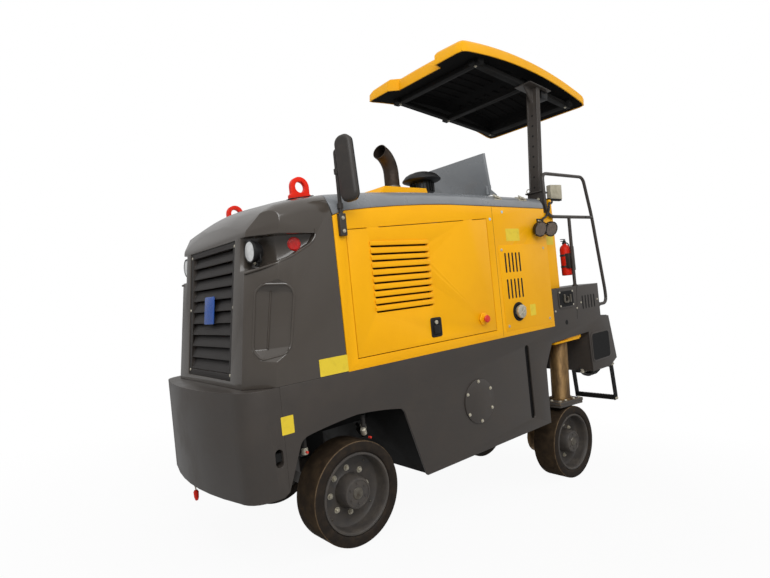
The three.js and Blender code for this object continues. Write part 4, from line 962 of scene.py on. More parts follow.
def dress_chassis():
    """Finishes the side frames, fenders, deck, rear box, front axle, drum housing and engine block."""
    m = MATERIALS
    for side, flip in SIDES.items():
        eased(f"side_frame_{side}", m["graphite_enamel"], 3, 3)
        eased(f"fender_{side}", m["graphite_enamel"], 0)
        place = flip @ ON_SIDE @ at(0, 0, HALF)
        disc = spun([(0, -2), (150, -2), (150, 7), (147, 9), (0, 9)], 72)
        cover = [(disc, place @ at(*ROUND_COVER, 0))]
        turns = [math.radians(degrees) for degrees in (90, 30, -30, -90, -150, 150)]
        y, z = ROUND_COVER
        bolts = [place @ at(y + 136 * math.cos(a), z + 135 * math.sin(a), 8) for a in turns]
        cover += [(s, p, 1) for s, p in scatter(hex_bolt(9, 8), bolts)]
        piece(f"round_cover_{side}", cover, BODY, CHASSIS, "graphite_paint", m["graphite_enamel"], m["zinc"])
        frame_rim = plate(rounded(1128, 1362, 1106, 1262, 26), 0, 6, 2)
        glass = plate(rounded(1142, 1348, 1120, 1248, 18), 6, 7)
        loop = [(1208, 1222, 12), (1208, 1156, 12), (1262, 1156, 12), (1262, 1196, 12), (1236, 1196, 12)]
        sockets = [tube(loop, 9, 12, 3), tube([(1296, 1216, 12), (1296, 1152, 12)], 9, 0, 3)]
        dark = [(glass, place, 1)] + [(socket, place, 2) for socket in sockets]
        vents = [plate(rounded(1500 + i * 48 - 8, 1500 + i * 48 + 8, 1072, 1188, 8), 0, 1) for i in range(5)]
        dark += [(v, place, 1) for v in vents]
        hatch = plate(rounded(1574, 1892, 594, 856, 40), 0, 4, 1.5)
        inner = plate(rounded(1590, 1876, 610, 840, 30), 4, 5)
        dark += [
            (hatch, place),
            (inner, place, 1),
            (spun([(0, 0), (20, 0), (20, 1), (0, 1)], 24), place @ at(1222, 989, 0), 1),
        ]
        piece(
            f"fender_windows_{side}",
            [(frame_rim, place)] + dark,
            BODY,
            CHASSIS,
            "graphite_paint",
            m["graphite_enamel"],
            m["shadow_black"],
            m["bare_steel"],
        )
        spots = [
            (1075, 1093),
            (1400, 1089),
            (1472, 1130),
            (1744, 1135),
            (1150, 1240),
            (1340, 1240),
            (1150, 1128),
            (1340, 1128),
        ]
        heads = scatter(button(9, 6), [place @ at(a, b, 5 if 1120 < a < 1360 else 0) for a, b in spots])
        piece(f"fender_bolts_{side}", heads, BODY, CHASSIS, "bare_steel", m["zinc"])
        joint = plate([(1424, 1272), (1428, 1272), (1390, 1000), (1386, 1000)], 0, 0.6)
        piece(f"fender_joint_{side}", [(joint, place)], BODY, CHASSIS, "black_plastic", m["shadow_black"])
    # A black plate just inside the side frame's slot: painted shade so the slot reads dark.
    backing = plate([(606, 322), (680, 322), (680, 888), (606, 888)], HALF - 22, HALF - 16.5)
    piece("slot_shade_plate", [(backing, ON_SIDE)], BODY, CHASSIS, "black_plastic", m["black_powder"])
    for node in ("rear_box", "drum_drive", "front_axle"):
        eased(node, m["graphite_enamel"], 3, 2)
    for node in ("frame_deck", "drum_housing"):
        eased(node, m["black_powder"], 3, 2)
    eased("engine", m["black_powder"], 6, 2)


# ---- Hood and what stands on it -----------------------------------------------------------------
EXHAUST, INTAKE_CAP = (50, -60), (112, 190)  # (x, y) on the roof
ROOF_AT_STACK, ROOF_AT_CAP = 2064.2, 2065.4  # height of the roof under the exhaust and the intake cap


def dress_hood():
    """Finishes the hood, exhaust, intake cap, console and lid."""
    m = MATERIALS
    eased("hood", m["grey_enamel"], 3, 3, 30, 40)
    eased("hood_cover", m["yellow_enamel"], 7, 3)
    stack = [(*EXHAUST, ROOF_AT_STACK), (*EXHAUST, 2223)]
    toward, bend = Vector((0.25, -0.97, 0)).normalized(), 150
    for i in range(13):
        turn = math.radians(72) * i / 12
        lift = Vector((0, 0, bend * math.sin(turn)))
        stack.append(Vector((*EXHAUST, 2272)) + toward * bend * (1 - math.cos(turn)) + lift)
    last = stack[-1] + (stack[-1] - stack[-2]).normalized() * 22
    pipe = tube(stack + [last], 57, 0, 8, False)
    bmesh.ops.solidify(pipe, geom=pipe.faces[:], thickness=5)
    clampband = spun([(58, 0), (62, 0), (62, 24), (58, 24)], 40, True)
    piece(
        "exhaust_stack",
        [(pipe,), (clampband, at(*EXHAUST, 2152), 1)],
        BODY,
        CHASSIS,
        "brown_steel",
        m["burnt_steel"],
        m["bare_steel"],
        replaces=("exhaust_pipe",),
    )
    brim = [(128, 140), (146, 148), (150, 154), (148, 161), (122, 190), (116, 190), (100, 202), (94, 202)]
    cap = spun([(0, 0), (82, 0), (82, 122), (88, 130), *brim, (60, 215), (0, 221)], 64)
    fins = []
    for k in range(20):
        turn = at(*INTAKE_CAP, ROOF_AT_CAP + 0.6) @ Matrix.Rotation(k * math.tau / 20, 4, "Z")
        fins.append((box((78, -1.5, 60), (96, 1.5, 134), 1, 1), turn))
    piece(
        "intake_cap_finish",
        [(cap, at(*INTAKE_CAP, ROOF_AT_CAP + 0.3))] + fins,
        BODY,
        CHASSIS,
        "black_plastic",
        m["black_abs"],
        replaces=("intake_cap",),
    )
    for side, flip in SIDES.items():
        parts = []
        for y, z in ((500, 2004), (812, 2006)):
            base = box((-22, -34, 0), (22, 34, 5), 1.5)
            hook = tube([(-12, 30, 6), (-12, -24, 18), (12, -24, 18), (12, 30, 6)], 3.5, 8, 2)
            lever = box((-11, -20, 6), (11, 26, 13), 3)
            place = flip @ at(560, y, z) @ Matrix.Rotation(math.radians(38), 4, "Y") @ Matrix.Scale(1.35, 4)
            parts += [(shape, place, 0) for shape in (base, hook, lever)]
        piece(f"toggle_latches_{side}", parts, BODY, CHASSIS, "bare_steel", m["zinc"])
    eased("console", m["graphite_enamel"], 3, 2)
    eased("console_lid", m["grey_enamel"], 2, 2)
    cheeks = [plate([(668, 2084), (792, 2078), (792, 2088), (668, 2156)], x - 2, x + 2) for x in (-350, 350)]
    piece(
        "console_cheeks", [(c, ON_SIDE) for c in cheeks], BODY, CHASSIS, "hood_grey_paint", m["grey_enamel"]
    )
    catches = []
    for x in (-330, 330):
        catches.append((box((x - 10, 60, -52), (x + 10, 84, -3), 3), None, 0))
        catches.append((box((x - 10, 240, -40), (x + 10, 262, -3), 3), None, 0))
    piece("lid_catches", catches, LID, "controls_lid", "black_plastic", m["black_powder"])


MIRROR_POST = (612, -962)  # (x, y) of the arm's upright


def dress_mirror():
    """Fits the mirror on its arm."""
    m = MATERIALS
    turn = at(692, -935, 2098) @ Matrix.Rotation(-0.06, 4, "Y") @ Matrix.Rotation(0.25, 4, "Z")
    shell = plate(rounded(-58, 58, -188, 188, 50, 8), 0, 43, 34, 6)
    glass = plate(rounded(-53, 53, -182, 182, 40, 7), -1.0, 1.0)
    head = turn @ ON_FRONT
    arm = tube([(*MIRROR_POST, 1740), (*MIRROR_POST, 2215), (640, -958, 2215), (640, -958, 2120)], 11, 18, 4)
    clamp = box((HALF + 0.3, -985, 1735), (628, -940, 1862), 5, 3)
    link = tube([(*MIRROR_POST, 2098), (692, -955, 2098)], 10, 0, 3)
    cuff = spun([(0, -14), (17, -14), (17, 14), (0, 14)], 20)
    parts = [(shell, head), (glass, head, 1), (arm,), (clamp,), (link,)]
    parts += scatter(cuff, [at(*MIRROR_POST, z) for z in (1905, 2098)])
    screws = scatter(hex_bolt(8, 7), [facing((628, -962, z), (1, 0, 0)) for z in (1762, 1836)])
    parts += [(s, p, 2) for s, p in screws]
    piece(
        "mirror_finish",
        parts,
        BODY,
        CHASSIS,
        "black_plastic",
        m["grained_shell"],
        m["mirror_glass"],
        m["zinc"],
        replaces=("mirror",),
    )


# ---- Wheels -------------------------------------------------------------------------------------
WHEEL_X = 480
FOOT_TOP = 342  # top of the plate that carries a rear wheel
TURNED = Matrix.Rotation(math.pi / 2, 4, "Y")  # a turned shape's Z to the machine's left


def dress_wheel(place_name, side, where, sizes):
    """One solid tyre and its bolted rim."""
    m = MATERIALS
    radius, half = sizes.tyre_radius * 1000, sizes.tyre_width * 500
    rim = 228
    body = f"wheel_{place_name}_{side}"
    out = 1 if side == "left" else -1
    place = where @ at(out * WHEEL_X, 0, 0) @ TURNED @ Matrix.Rotation(0 if out > 0 else math.pi, 4, "X")
    wall = [
        (rim + 0.5, half - 9),
        (rim + 4, half - 4),
        (rim + 12, half - 1),
        (246, half),
        (272, half),
        (276, half - 1.5),
        (280, half - 1),
    ]
    shoulder = [(radius - 5, half - 3), (radius - 1.5, half - 8), (radius, half - 15)]
    outer = wall + shoulder
    profile = outer + [(r, -h) for r, h in reversed(outer)]
    tyre = spun(profile, 96, True)
    # Faces in a thin band at the shoulder take the lighter rubber, a painted highlight along the edge.
    for face in tyre.faces:
        centre = face.calc_center_median()
        reach = math.hypot(centre.x, centre.y)
        face.material_index = 0 if reach > radius - 2 else 2 if reach > radius - 7 else 1
    mesh = bpy.data.meshes.new("tyre_" + body)
    bmesh.ops.transform(tyre, matrix=place, verts=tyre.verts)
    bmesh.ops.recalc_face_normals(tyre, faces=tyre.faces)
    tyre.to_mesh(mesh)
    tyre.free()
    mesh.materials.append(m["tread_rubber"])
    mesh.materials.append(m["wall_rubber"])
    mesh.materials.append(m["scuffed_rubber"])
    mesh.shade_smooth()
    mesh.set_sharp_from_angle(angle=math.radians(50))
    made = bpy.data.objects.new(f"tyre_{place_name}_{side}_finish", mesh)
    bpy.context.scene.collection.objects.link(made)
    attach(made, body)
    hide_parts(f"tyre_{place_name}_{side}")
    barrel = [
        (206, -84), (212, -90), (228, -92), (228, 88), (224, 94), (214, 95), (210, 91), (207, 60), (205, 8)
    ]
    hub = [(106, -4), (98, 3), (92, 50), (86, 84), (82, 91), (74, 93), (72, 89), (0, 89), (0, 22), (35.6, 22)]
    dish = [(35.6, -38), (78, -38), (78, -24), (198, -24), *barrel, (198, 0), (160, -6), *hub]
    parts = [(spun(dish, 96), None, 0)]
    ring = spun([(209, 70), (213, 70), (213, 74), (209, 74)], 72, True)
    parts.append((ring, None, 0))
    spots = [at(a, b, -6) for a, b in circle_points(sizes.wheel_bolts, sizes.bolt_circle * 1000)]
    parts += [(s, p, 1) for s, p in scatter(hex_bolt(13, 13, 5), spots)]
    small = [at(a, b, 89) for a, b in circle_points(6, 56)]
    parts += [(s, p, 0) for s, p in scatter(hex_bolt(6, 5), small)]
    parts.append((spun([(0, 89), (34, 89), (32, 93), (0, 94)], 40), None, 2))
    plugs = [at(184 * math.cos(a), 184 * math.sin(a), -2) for a in (0.9, 2.4, 4.0, 5.5)]
    parts += [(s, p, 2) for s, p in scatter(button(7, 4), plugs)]
    piece(
        f"rim_{place_name}_{side}_finish",
        parts,
        place,
        body,
        "graphite_paint",
        m["cast_wheel"],
        m["zinc"],
        m["bare_steel"],
        sharp=40,
        replaces=(f"rim_{place_name}_{side}",),
    )


def dress_wheels(sizes):
    """Fits the solid tyres and bolted rims."""
    for side in SIDES:
        dress_wheel("front", side, FRONT_AXLE, sizes)
        dress_wheel("rear", side, LEGS, sizes)


def dress_running_gear():
    """Finishes the legs, columns, knuckles and steering."""
    m = MATERIALS
    for side, flip in SIDES.items():
        leg = f"leg_{side}"
        eased(f"rear_leg_{side}", m["dusty_chrome"], 3, 2, 35)
        eased(f"column_housing_{side}", m["yellow_enamel"], 3, 2, 35)
        eased(f"knuckle_{side}", m["black_powder"], 3, 2)
        foot = [(dx, dy) for dx in (-78, 0, 78) for dy in (-140, 140)] + [(-78, 0), (78, -60), (78, 60)]
        heads = scatter(hex_bolt(11, 11), [flip @ at(WHEEL_X + dx, dy, FOOT_TOP) for dx, dy in foot])
        plates = [
            box((382, -166.5, 296.8), (578.5, 166.5, 321), 4, 2),
            box((363.5, -173.5, 318.5), (580.5, 173.5, 343), 6, 3),
        ]
        piece(
            f"leg_foot_{side}",
            [(shape, flip, 1) for shape in plates] + heads,
            LEGS,
            leg,
            "bare_steel",
            m["zinc"],
            m["cast_wheel"],
        )
        collar = spun([(76, 0), (92, 0), (92, 10), (86, 14), (76, 14)], 48, True)
        piece(
            f"leg_collar_{side}",
            [(collar, flip @ at(WHEEL_X, 0, FOOT_TOP))],
            LEGS,
            leg,
            "brown_steel",
            m["dusty_chrome"],
        )
        bar = box((468, 1046, 824), (584, 1424, 846), 7, 3)
        piece(f"column_clamp_{side}", [(bar, flip)], BODY, CHASSIS, "yellow_paint", m["yellow_enamel"])
        wiper = spun([(77, 0), (96, 0), (96, -10), (82, -14), (77, -14)], 48, True)
        piece(
            f"column_wiper_{side}",
            [(wiper, flip @ at(WHEEL_X, 0, 838))],
            LEGS,
            CHASSIS,
            "black_plastic",
            m["black_powder"],
        )
    eased("steering_rod", m["bare_steel"], 1.5, 2)


def dress_fittings():
    """Fits the hose ends and valves that show in the arch and under the rear box."""
    m = MATERIALS
    parts = []
    for x, y, z in ((520, -888, 608), (470, -852, 622)):
        route = [(x, y, 700), (x, y, z - 20), (x - 60, y + 30, z - 46), (x - 150, y + 60, z - 30)]
        parts.append((tube(route, 13, 16, 3), None, 0))
        nut = spun([(0, 0), (17, 0), (17, 34), (12, 40), (0, 40)], 12)
        parts.append((nut, facing((x, y, z - 18), (0.3, -0.4, 1)), 1))
    valve = spun([(0, 0), (7, 0), (7, 16), (0, 18)], 14)
    parts.append((valve, facing((536, -868, 566), (1, 0.2, 0)), 2))
    route = [(520, -1290, 700), (515, -1285, 588), (440, -1270, 560), (330, -1240, 590)]
    parts.append((tube(route, 14, 30, 3), None, 0))
    nut = spun([(0, 0), (18, 0), (18, 30), (13, 36), (0, 36)], 12)
    parts.append((nut, facing((516, -1286, 580), (0, 0, 1)), 1))
    valve = spun([(0, 0), (7, 0), (7, 15), (0, 17)], 14)
    parts.append((valve, facing((530, -1286, 594), (1, 0, 0)), 2))
    piece("arch_hoses", parts, BODY, CHASSIS, "black_plastic", m["hose"], m["zinc"], m["red_plastic"])
    parts = []
    for y in (1572, 1616, 1660):
        route = [(470, y, 545), (490, y, 490), (540, y + 26, 476), (566, y + 60, 512)]
        parts.append((tube(route, 13, 22, 3), None, 0))
        nut = spun([(0, 0), (19, 0), (19, 26), (14, 34), (0, 34)], 6)
        parts.append((nut, facing((486, y, 500), (0.25, 0.1, 1)), 1))
    parts.append((box((430, 1560, 498), (500, 1700, 524), 4), None, 0))
    piece("rear_hoses", parts, BODY, CHASSIS, "black_plastic", m["hose"], m["zinc"])


# ---- Platform -----------------------------------------------------------------------------------
RAIL_X = 578
EXTINGUISHER = (505, 1460, 1372)


def dress_platform(sizes):
    """Fits the guard rails, extinguisher and step."""
    m = MATERIALS
    r, x, top = sizes.rail_tube * 1000, RAIL_X, 1277
    loop = [
        (x, 1718, 1872),
        (x, 1160, 1872),
        (x, 1112, 1935),
        (x, 1112, 2228),
        (x, 1745, 2232),
        (x, 1835, 1880),
        (x, 1945, 1180),
        (x, 1940, 1085),
        (x, 1800, 1085),
    ]
    for side, flip in SIDES.items():
        parts = [
            (tube(loop, r, 60, 5), flip),
            (tube([(x, 1440, top + 0.5), (x, 1452, 1875)], r, 0, 5), flip),
            (tube([(x, 1700, 1872), (x, 1836, 1872)], r, 0, 5), flip),
            (spun([(0, 0), (26, 0), (26, 7), (17, 9), (17, 16), (0, 16)], 28), flip @ at(x, 1440, top + 0.4)),
            (spun([(0, 0), (22, 0), (22, 22), (0, 24)], 28), flip @ facing((x, 1780.4, 1085), (0, 1, 0))),
        ]
        piece(
            f"guard_rail_{side}_finish",
            parts,
            BODY,
            CHASSIS,
            "graphite_paint",
            m["graphite_enamel"],
            replaces=(f"guard_rail_{side}",),
        )
    bottle = spun(
        [(0, 0), (36, 0), (42, 4), (44, 12), (44, 228), (40, 246), (28, 262), (17, 268), (17, 276), (0, 276)],
        40,
    )
    neck = spun([(0, 276), (19, 276), (19, 288), (13, 292), (13, 304), (0, 304)], 24)
    handle = [
        box((-9, -44, 296), (9, 20, 303), 2),
        box((-9, -50, 312), (9, 12, 318), 2),
        box((-5, -4, 300), (5, 10, 318), 2),
    ]
    hose = tube([(0, 14, 290), (10, 44, 276), (30, 46, 200), (33, 44, 110)], 5, 12, 3)
    strap = [spun([(44.2, z), (46.5, z), (46.5, z + 16), (44.2, z + 16)], 40, True) for z in (70, 168)]
    arm = box((20, -40, 60), (58, 22, 190), 4)
    guard = box((40, 10, 40), (58, 52, 250), 5)
    place = at(*EXTINGUISHER)
    parts = [(bottle, place)]
    parts += [(shape, place, 1) for shape in (neck, *handle, hose)]
    parts += [(shape, place, 2) for shape in (*strap, arm, guard)]
    piece(
        "extinguisher_finish",
        parts,
        BODY,
        CHASSIS,
        "red_paint",
        m["red_enamel"],
        m["black_abs"],
        m["graphite_enamel"],
        replaces=("extinguisher",),
    )
    eased("step", m["black_powder"], 1.5, 2)
    tooth = box((-4, -24, 0), (4, 24, 9), 2, 1)
    teeth = scatter(tooth, [at(206 + i * 15.4, 1940, 221) for i in range(24)])
    nuts = scatter(
        hex_bolt(9, 8),
        [facing((584.5, y, z), (1, 0, 0)) for y, z in ((1930, 204), (1952, 204), (1915, 520), (1938, 524))],
    )
    piece(
        "step_teeth",
        teeth + [(s, p, 1) for s, p in nuts],
        BODY,
        CHASSIS,
        "black_plastic",
        m["black_powder"],
        m["zinc"],
    )


# ---- Work lamps, signal lamp and fairing at the rear corner -------------------------------------
FAIRING_X = RAIL_X - 17  # outer face of the fairing


def dress_rear_corner():
    """Fits the fairings, work lamps and signal lamp."""
    m = MATERIALS
    for side in SIDES:
        eased(f"rear_fairing_{side}", m["yellow_enamel"], 4, 3)
    aim = Vector((0.91, -0.24, -0.3)).normalized()
    parts = []
    for y in (886, 1033):
        place = facing(Vector((HALF + 66, y, 1756)) - aim * 45, aim)
        cup = [(0, 0), (40, 0), (53, 9), (59, 22), (60.5, 40), (60.5, 47), (55, 48), (54, 43), (0, 43)]
        parts.append((spun(cup, 48), place, 0))
        parts.append((spun([(0, 43.2), (54, 43.2), (52, 46), (30, 48.5), (0, 49.5)], 48), place, 1))
        spots = [place @ at(57 * math.cos(a), 57 * math.sin(a), 44) for a in (0.4, 1.97, 3.54, 5.11)]
        parts += [(s, p, 2) for s, p in scatter(button(4, 4, 10), spots)]
    parts.append((box((HALF + 0.3, 933, 1752), (HALF + 10, 1001, 1848), 3), None, 0))
    parts.append((box((HALF + 8, 933, 1752), (HALF + 50, 1001, 1790), 4), None, 0))
    heads = [facing((HALF + 10, y, 1828), (1, 0, 0)) for y in (950, 984)]
    parts += [(s, p, 2) for s, p in scatter(hex_bolt(8, 7), heads)]
    slot = "black_plastic"
    colours = (m["black_abs"], m["dark_lens"], m["zinc"])
    piece("work_lamps_finish", parts, BODY, CHASSIS, slot, *colours, replaces=("work_lamps",))

    bottom = 2026
    post = box((FAIRING_X - 31, 1196, 1905.3), (FAIRING_X, 1232, bottom), 3)
    shelf = box((FAIRING_X - 31, 1196, bottom - 12), (FAIRING_X, 1400, bottom + 4), 3)
    turn = at(FAIRING_X - 53, 1368, bottom) @ Matrix.Rotation(1.32, 4, "Z") @ Matrix.Rotation(0.05, 4, "X")
    lamp = box((-62, -28, 1), (62, 24, 130), 8, 3)
    cover = box((-63, -30, 4), (63, -22, 127), 4, 2)
    corners = [turn @ facing((x, -30, z), (0, -1, 0)) for x in (-52, 52) for z in (15, 116)]
    parts = [(post, None, 1), (shelf, None, 2), (lamp, turn, 0), (cover, turn, 0)]
    parts += [(s, p, 3) for s, p in scatter(button(4, 3, 10), corners)]
    colours = (m["beige_box"], m["yellow_enamel"], m["black_powder"], m["zinc"])
    piece("signal_lamp_finish", parts, BODY, CHASSIS, "beige_paint", *colours, replaces=("signal_lamp",))
    route = [(508, 1330, 2012), (540, 1262, 1990), (592, 1150, 1985), (598, 1130, 1920), (606, 1060, 1862)]
    cable = tube([*route, (622, 985, 1846), (634, 962, 1795)], 9, 26, 3)
    piece("lamp_cable", [(cable,)], BODY, CHASSIS, "black_plastic", m["hose"])
    label = plate(rounded(1100, 1204, 1640, 1712, 4), FAIRING_X, FAIRING_X + 1)
    piece("fairing_label", [(label, ON_SIDE)], BODY, CHASSIS, "yellow_paint", m["blank_label"])


# ---- Seat ---------------------------------------------------------------------------------------
def puffed(name, low, high, rounding, tilt, pressure=4.0, cap=0.012):
    """A foam block in vinyl, blown up a little as cloth so its faces crown between the seams."""
    bm = box(low, high, rounding, 4)
    bmesh.ops.transform(bm, matrix=BODY @ tilt, verts=bm.verts)
    mesh = bpy.data.meshes.new(name)
    bm.to_mesh(mesh)
    bm.free()
    pad = bpy.data.objects.new(name, mesh)
    bpy.context.scene.collection.objects.link(pad)
    remesh = pad.modifiers.new("grid", "REMESH")
    remesh.mode = "VOXEL"
    remesh.voxel_size = 0.008
    bake_modifiers(pad)
    start = [v.co.copy() for v in pad.data.vertices]
    cloth = pad.modifiers.new("foam", "CLOTH")
    cloth.settings.use_pressure = True
    cloth.settings.uniform_pressure_force = pressure
    cloth.settings.effector_weights.gravity = 0
    cloth.settings.quality = 4
    scene = bpy.context.scene
    for step in range(1, 15):
        scene.frame_set(step)
    bake_modifiers(pad)
    for vert, was in zip(pad.data.vertices, start):
        move = vert.co - was
        if move.length > cap:
            vert.co = was + move.normalized() * cap
    scene.frame_set(1)
    smooth = pad.modifiers.new("soft", "SMOOTH")
    smooth.iterations = 4
    smooth.factor = 0.5
    bake_modifiers(pad)
    pad.data.shade_smooth()
    return pad


def bake_modifiers(made):
    """Keeps what the modifiers make of an object and removes them."""
    bpy.context.view_layer.update()
    result = bpy.data.meshes.new_from_object(made.evaluated_get(bpy.context.evaluated_depsgraph_get()))
    made.modifiers.clear()
    made.data = result


def dress_seat():
    """Makes the padded seat."""
    m = MATERIALS
    eased("seat_base", m["black_powder"], 5, 3)
    base_z = 977 + 400.3
    upright = at(-60, 1560 + 150, base_z + 70) @ lean(-8)
    pads = (
        puffed(
            "seat_pad_finish", (-282, 1348, base_z + 10), (162, 1742, base_z + 80), 26, Matrix.Identity(4)
        ),
        puffed("seat_back_finish", (-207, -18, 0), (207, 46, 392), 26, upright),
    )
    for pad in pads:
        pad.data.materials.append(m["vinyl"])
        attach(pad, CHASSIS)
        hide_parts("seat_cushion")
    piping = tube(
        [
            (-270, 1362, base_z + 84),
            (150, 1362, base_z + 84),
            (150, 1730, base_z + 84),
            (-270, 1730, base_z + 84),
            (-270, 1362, base_z + 84),
        ],
        4,
        24,
        3,
    )
    piece("seat_piping", [(piping,)], BODY, CHASSIS, "black_plastic", m["black_abs"])


# ---- Canopy -------------------------------------------------------------------------------------
MAST_TOP = 1088
CANOPY_FRONT, CANOPY_REAR, CANOPY_HALF = -975, 715, 560
CANOPY_MIDDLE = -480
SKIN_DROP = 62
LOBE_NOTCH = 90  # how far the front edge steps back between its lobes


def skin_rise(y, rise):
    """How high the canopy's curve stands along its length."""
    return rise * (1 - ((y + 50) / 980) ** 2)


def dress_canopy(sizes):
    """Fits the canopy skin, liner, frame and mast."""
    m = MATERIALS
    rise = sizes.skin_rise * 1000
    across, along = 56, 60  # faces in the skin's grid

    def front_edge(x):
        """The front edge steps back between two lobes, with sloping shoulders."""
        t = min(1, max(0, (abs(x) - 240) / 40))
        return CANOPY_FRONT + LOBE_NOTCH * (1 - t * t * (3 - 2 * t))

    def sheet(inset, height, edge_drop):
        """A curved skin with its edges turned down, inset from the rim all round."""
        bm = bmesh.new()
        bmesh.ops.create_grid(bm, x_segments=across, y_segments=along, size=1)
        half = CANOPY_HALF - inset
        for vert in bm.verts:
            x = vert.co.x * half
            front, rear = front_edge(x) + inset, CANOPY_REAR - inset
            share = (vert.co.y + 1) / 2
            y = front + (rear - front) * share
            crown = 18 * (1 - (x / half) ** 2)
            near = min(half - abs(x), y - front, rear - y)
            edge = max(0, 1 - near / 46)
            drop = 30 * (1 - math.sqrt(max(0, 1 - edge * edge)))
            middle, reach = (front + rear) / 2, (rear - front) / 2
            corner = max(0, abs(x) - half + 60) * max(0, abs(y - middle) - reach + 60) / 60
            vert.co = Vector((CANOPY_MIDDLE + x, y, MAST_TOP + height + skin_rise(y, rise) + crown - drop))
            if corner > 0:
                vert.co.x -= math.copysign(corner * 0.22, x)
                vert.co.y -= math.copysign(corner * 0.22, y - middle)
        rim = [e for e in bm.edges if e.is_boundary]
        skirt = bmesh.ops.extrude_edge_only(bm, edges=rim)["geom"]
        for vert in (g for g in skirt if isinstance(g, bmesh.types.BMVert)):
            vert.co.z = MAST_TOP + skin_rise(vert.co.y, rise) - edge_drop
        return bm

    skin = sheet(0, SKIN_DROP, 29)
    bmesh.ops.recalc_face_normals(skin, faces=skin.faces)
    bmesh.ops.solidify(skin, geom=skin.faces[:], thickness=9)
    piece(
        "canopy_finish",
        [(skin,)],
        MAST,
        "canopy_body",
        "yellow_paint",
        m["yellow_enamel"],
        sharp=50,
        replaces=("canopy",),
    )

    liner = bmesh.new()
    bmesh.ops.create_grid(liner, x_segments=48, y_segments=64, size=1)
    for vert in liner.verts:
        x = vert.co.x * (CANOPY_HALF - 12)
        front, rear = front_edge(x) + 12, CANOPY_REAR - 12
        y = front + (rear - front) * (vert.co.y + 1) / 2
        # The lining is pressed up between its flat borders.
        window = max(0, min(1, (430 - abs(x)) / 26, (y + 660) / 26, (530 - y) / 26))
        vert.co = Vector((CANOPY_MIDDLE + x, y, MAST_TOP + skin_rise(y, rise) - 24 + 52 * window))
    bmesh.ops.solidify(liner, geom=liner.faces[:], thickness=3)
    ribs = []
    for i in range(8):
        for y0, y1 in ((-600, -130), (10, 480)):
            x = CANOPY_MIDDLE - 350 + i * 100
            rib = box((-17, y0, -4), (17, y1, 4), 3.5, 2)
            bmesh.ops.subdivide_edges(
                rib, edges=[e for e in rib.edges if abs(e.verts[0].co.y - e.verts[1].co.y) > 100], cuts=6
            )
            for vert in rib.verts:
                vert.co = Vector(
                    (vert.co.x + x, vert.co.y, vert.co.z + MAST_TOP + skin_rise(vert.co.y, rise) + 23)
                )
            ribs.append((rib, None, 0))
    piece(
        "canopy_liner",
        [(liner, None, 0)] + ribs,
        MAST,
        "canopy_body",
        "black_plastic",
        m["black_lining"],
        sharp=45,
    )
    eased("canopy_frame", m["black_powder"], 3, 2)
    spots = [(x, y) for x in (-440, 440) for y in (-690, -65, 560)]
    heads = [facing((CANOPY_MIDDLE + x, y, MAST_TOP + 0.5), (0, 0, -1)) for x, y in spots]
    bolts = scatter(hex_bolt(9, 8), heads)
    piece("canopy_bolts", bolts, MAST, "canopy_body", "bare_steel", m["zinc"])
    eased("canopy_mast", m["graphite_enamel"], 4, 3)
    eased("mast_sleeve", m["graphite_enamel"], 3, 2)
    holes = [
        (spun([(0, 0), (9, 0), (9, 0.4), (0, 0.4)], 20), facing((0, -25, z), (0, -1, 0)), 0)
        for z in range(230, 930, 88)
    ]
    piece("mast_holes", holes, MAST, "canopy_body", "black_plastic", m["shadow_black"])
    lips = [box((x - 7, -28, -40), (x + 7, -24.5, 1070), 1.2, 1) for x in (-43, 43)]
    piece("mast_lips", lips, MAST, "canopy_body", "graphite_paint", m["graphite_enamel"])
    nuts = scatter(hex_bolt(10, 10), [facing((x, -37, z), (0, -1, 0)) for x in (-40, 40) for z in (-10, 120)])
    eye = tube(
        [(math.cos(a) * 16, 0, math.sin(a) * 16) for a in (k * math.tau / 16 for k in range(17))],
        3.5,
        0,
        2,
        False,
    )
    piece("sleeve_bolts", nuts + [(eye, at(-66, -20, 212))], MAST, CHASSIS, "bare_steel", m["zinc"])
    lug = box((-30, 60, MAST_TOP - 74), (44, 150, MAST_TOP - 8), 5)
    piece("junction_box", [(lug,)], MAST, "canopy_body", "black_plastic", m["black_abs"])


# ---- Cutter drum --------------------------------------------------------------------------------
DRUM_ENDS, DRUM_AXIS = (-578, -80), (560, 175)  # x of its ends; (y, z) of its axis


def dress_drum(sizes):
    """Fits the drum with its cutting tools."""
    m = MATERIALS
    (x0, x1), (y, z) = DRUM_ENDS, DRUM_AXIS
    middle = (x0 + x1) / 2
    shell = spun(
        [
            (0, 0),
            (60, 0),
            (68, 14),
            (205, 14),
            (213, 6),
            (215, 10),
            (215, x1 - x0 - 10),
            (213, x1 - x0 - 6),
            (205, x1 - x0 - 14),
            (90, x1 - x0 - 14),
            (84, x1 - x0),
            (0, x1 - x0),
        ],
        72,
    )
    parts = [
        (shell, at(x0, y, z) @ TURNED, 0),
        (spun([(0, 0), (78, 0), (78, 108), (0, 108)], 48), at(x1, y, z) @ TURNED, 1),
    ]
    count = sizes.tool_holders
    for i in range(count):
        share = i / (count - 1)
        x = x0 + 26 + (x1 - x0 - 52) * share
        turn = 2.4 * i if x < middle else -2.4 * i
        where = at(x, y, z) @ Matrix.Rotation(turn, 4, "X")
        holder = box((-17, -22, 206), (17, 26, 236), 5, 2)
        collar = spun([(0, 0), (13, 0), (13, 12), (10, 15), (0, 15)], 12)
        tip = spun([(0, 0), (10, 0), (6, 16), (0, 24)], 12)
        aim = Matrix.Rotation(math.radians(-20), 4, "X")
        parts.append((holder, where, 0))
        parts.append((collar, where @ at(0, 4, 228) @ aim, 1))
        parts.append((tip, where @ at(0, 9, 243) @ aim, 2))
    piece(
        "cutter_drum_finish",
        parts,
        BODY,
        "drum",
        "bare_steel",
        m["burnt_steel"],
        m["bare_steel"],
        m["carbide"],
        replaces=("cutter_drum",),
    )


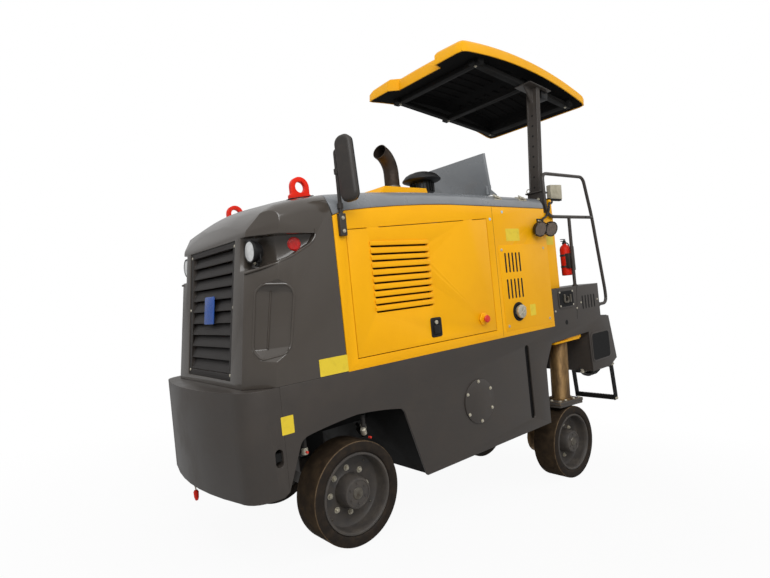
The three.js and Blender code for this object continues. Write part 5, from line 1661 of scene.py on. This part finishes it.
# ---- Operators ----------------------------------------------------------------------------------
def operator(name, label, work, group=None):
    """One operator that runs one group of work, with its settings where it has some, and fails aloud."""

    def execute(self, context):
        if group:
            work(getattr(context.scene, group))
        else:
            work()
        return {"FINISHED"}

    about = {"bl_idname": "planer." + name, "bl_label": label, "__doc__": work.__doc__}
    return type("PLANER_OT_" + name, (bpy.types.Operator,), {**about, "execute": execute})


def build_stage(settings):
    """Sets the camera, lights and pale floor."""
    bpy.context.scene.view_settings.view_transform = "Standard"
    set_camera()
    pale_world(settings.sky)
    pale_floor(settings.floor_white)
    power = settings.key_power
    soft_light("key", power, (4.5, 3.0), (4.6, -3.0, 4.4), 0.5)
    soft_light("fill", power * 0.4, (4.0, 4.0), (-4.2, -3.0, 3.2), 0.05)
    soft_light("rear", power * 0.45, (4.0, 3.0), (1.5, 5.2, 3.8), 0.12)


STEPS = (
    ("paints", "Paints", mix_paints, "planer_colours"),
    ("stage", "Stage", build_stage, "planer_stage"),
    ("nose", "Nose", dress_nose),
    ("grille", "Grille", dress_grille),
    ("lamps", "Lamps", dress_headlamps),
    ("doors", "Engine doors", dress_doors),
    ("panels", "Side panels", dress_side_panels),
    ("chassis", "Chassis", dress_chassis),
    ("hood", "Hood", dress_hood),
    ("mirror", "Mirror", dress_mirror),
    ("gear", "Running gear", dress_running_gear),
    ("fittings", "Fittings", dress_fittings),
    ("platform", "Platform", dress_platform, "planer_sizes"),
    ("corner", "Rear corner", dress_rear_corner),
    ("seat", "Seat", dress_seat),
    ("canopy", "Canopy", dress_canopy, "planer_sizes"),
    ("drum", "Cutter drum", dress_drum, "planer_sizes"),
    ("wheels", "Wheels", dress_wheels, "planer_sizes"),
)
OPERATORS = [operator(*step) for step in STEPS]


class PLANER_PT_panel(bpy.types.Panel):
    """Lists the machine's settings and the steps that dress it."""

    bl_idname = "PLANER_PT_panel"
    bl_label = "Cold planer"
    bl_space_type = "VIEW_3D"
    bl_region_type = "UI"
    bl_category = "Planer"

    def draw(self, context):
        for group in GROUPS:
            settings = getattr(context.scene, group)
            box_layout = self.layout.box()
            for name in settings.__annotations__:
                box_layout.prop(settings, name)
        for step in OPERATORS:
            self.layout.operator(step.bl_idname)


GROUPS = {"planer_colours": PlanerColours, "planer_sizes": PlanerSizes, "planer_stage": PlanerStage}
CLASSES = [*GROUPS.values(), *OPERATORS, PLANER_PT_panel]


def register():
    for each in CLASSES:
        bpy.utils.register_class(each)
    for name, group in GROUPS.items():
        setattr(bpy.types.Scene, name, PointerProperty(type=group))


def unregister():
    for name in GROUPS:
        delattr(bpy.types.Scene, name)
    for each in reversed(CLASSES):
        bpy.utils.unregister_class(each)


def main():
    """Dresses the whole machine and notes its size."""
    register()
    for name, *_ in STEPS:
        getattr(bpy.ops.planer, name)()


if __name__ == "__main__":
    main()
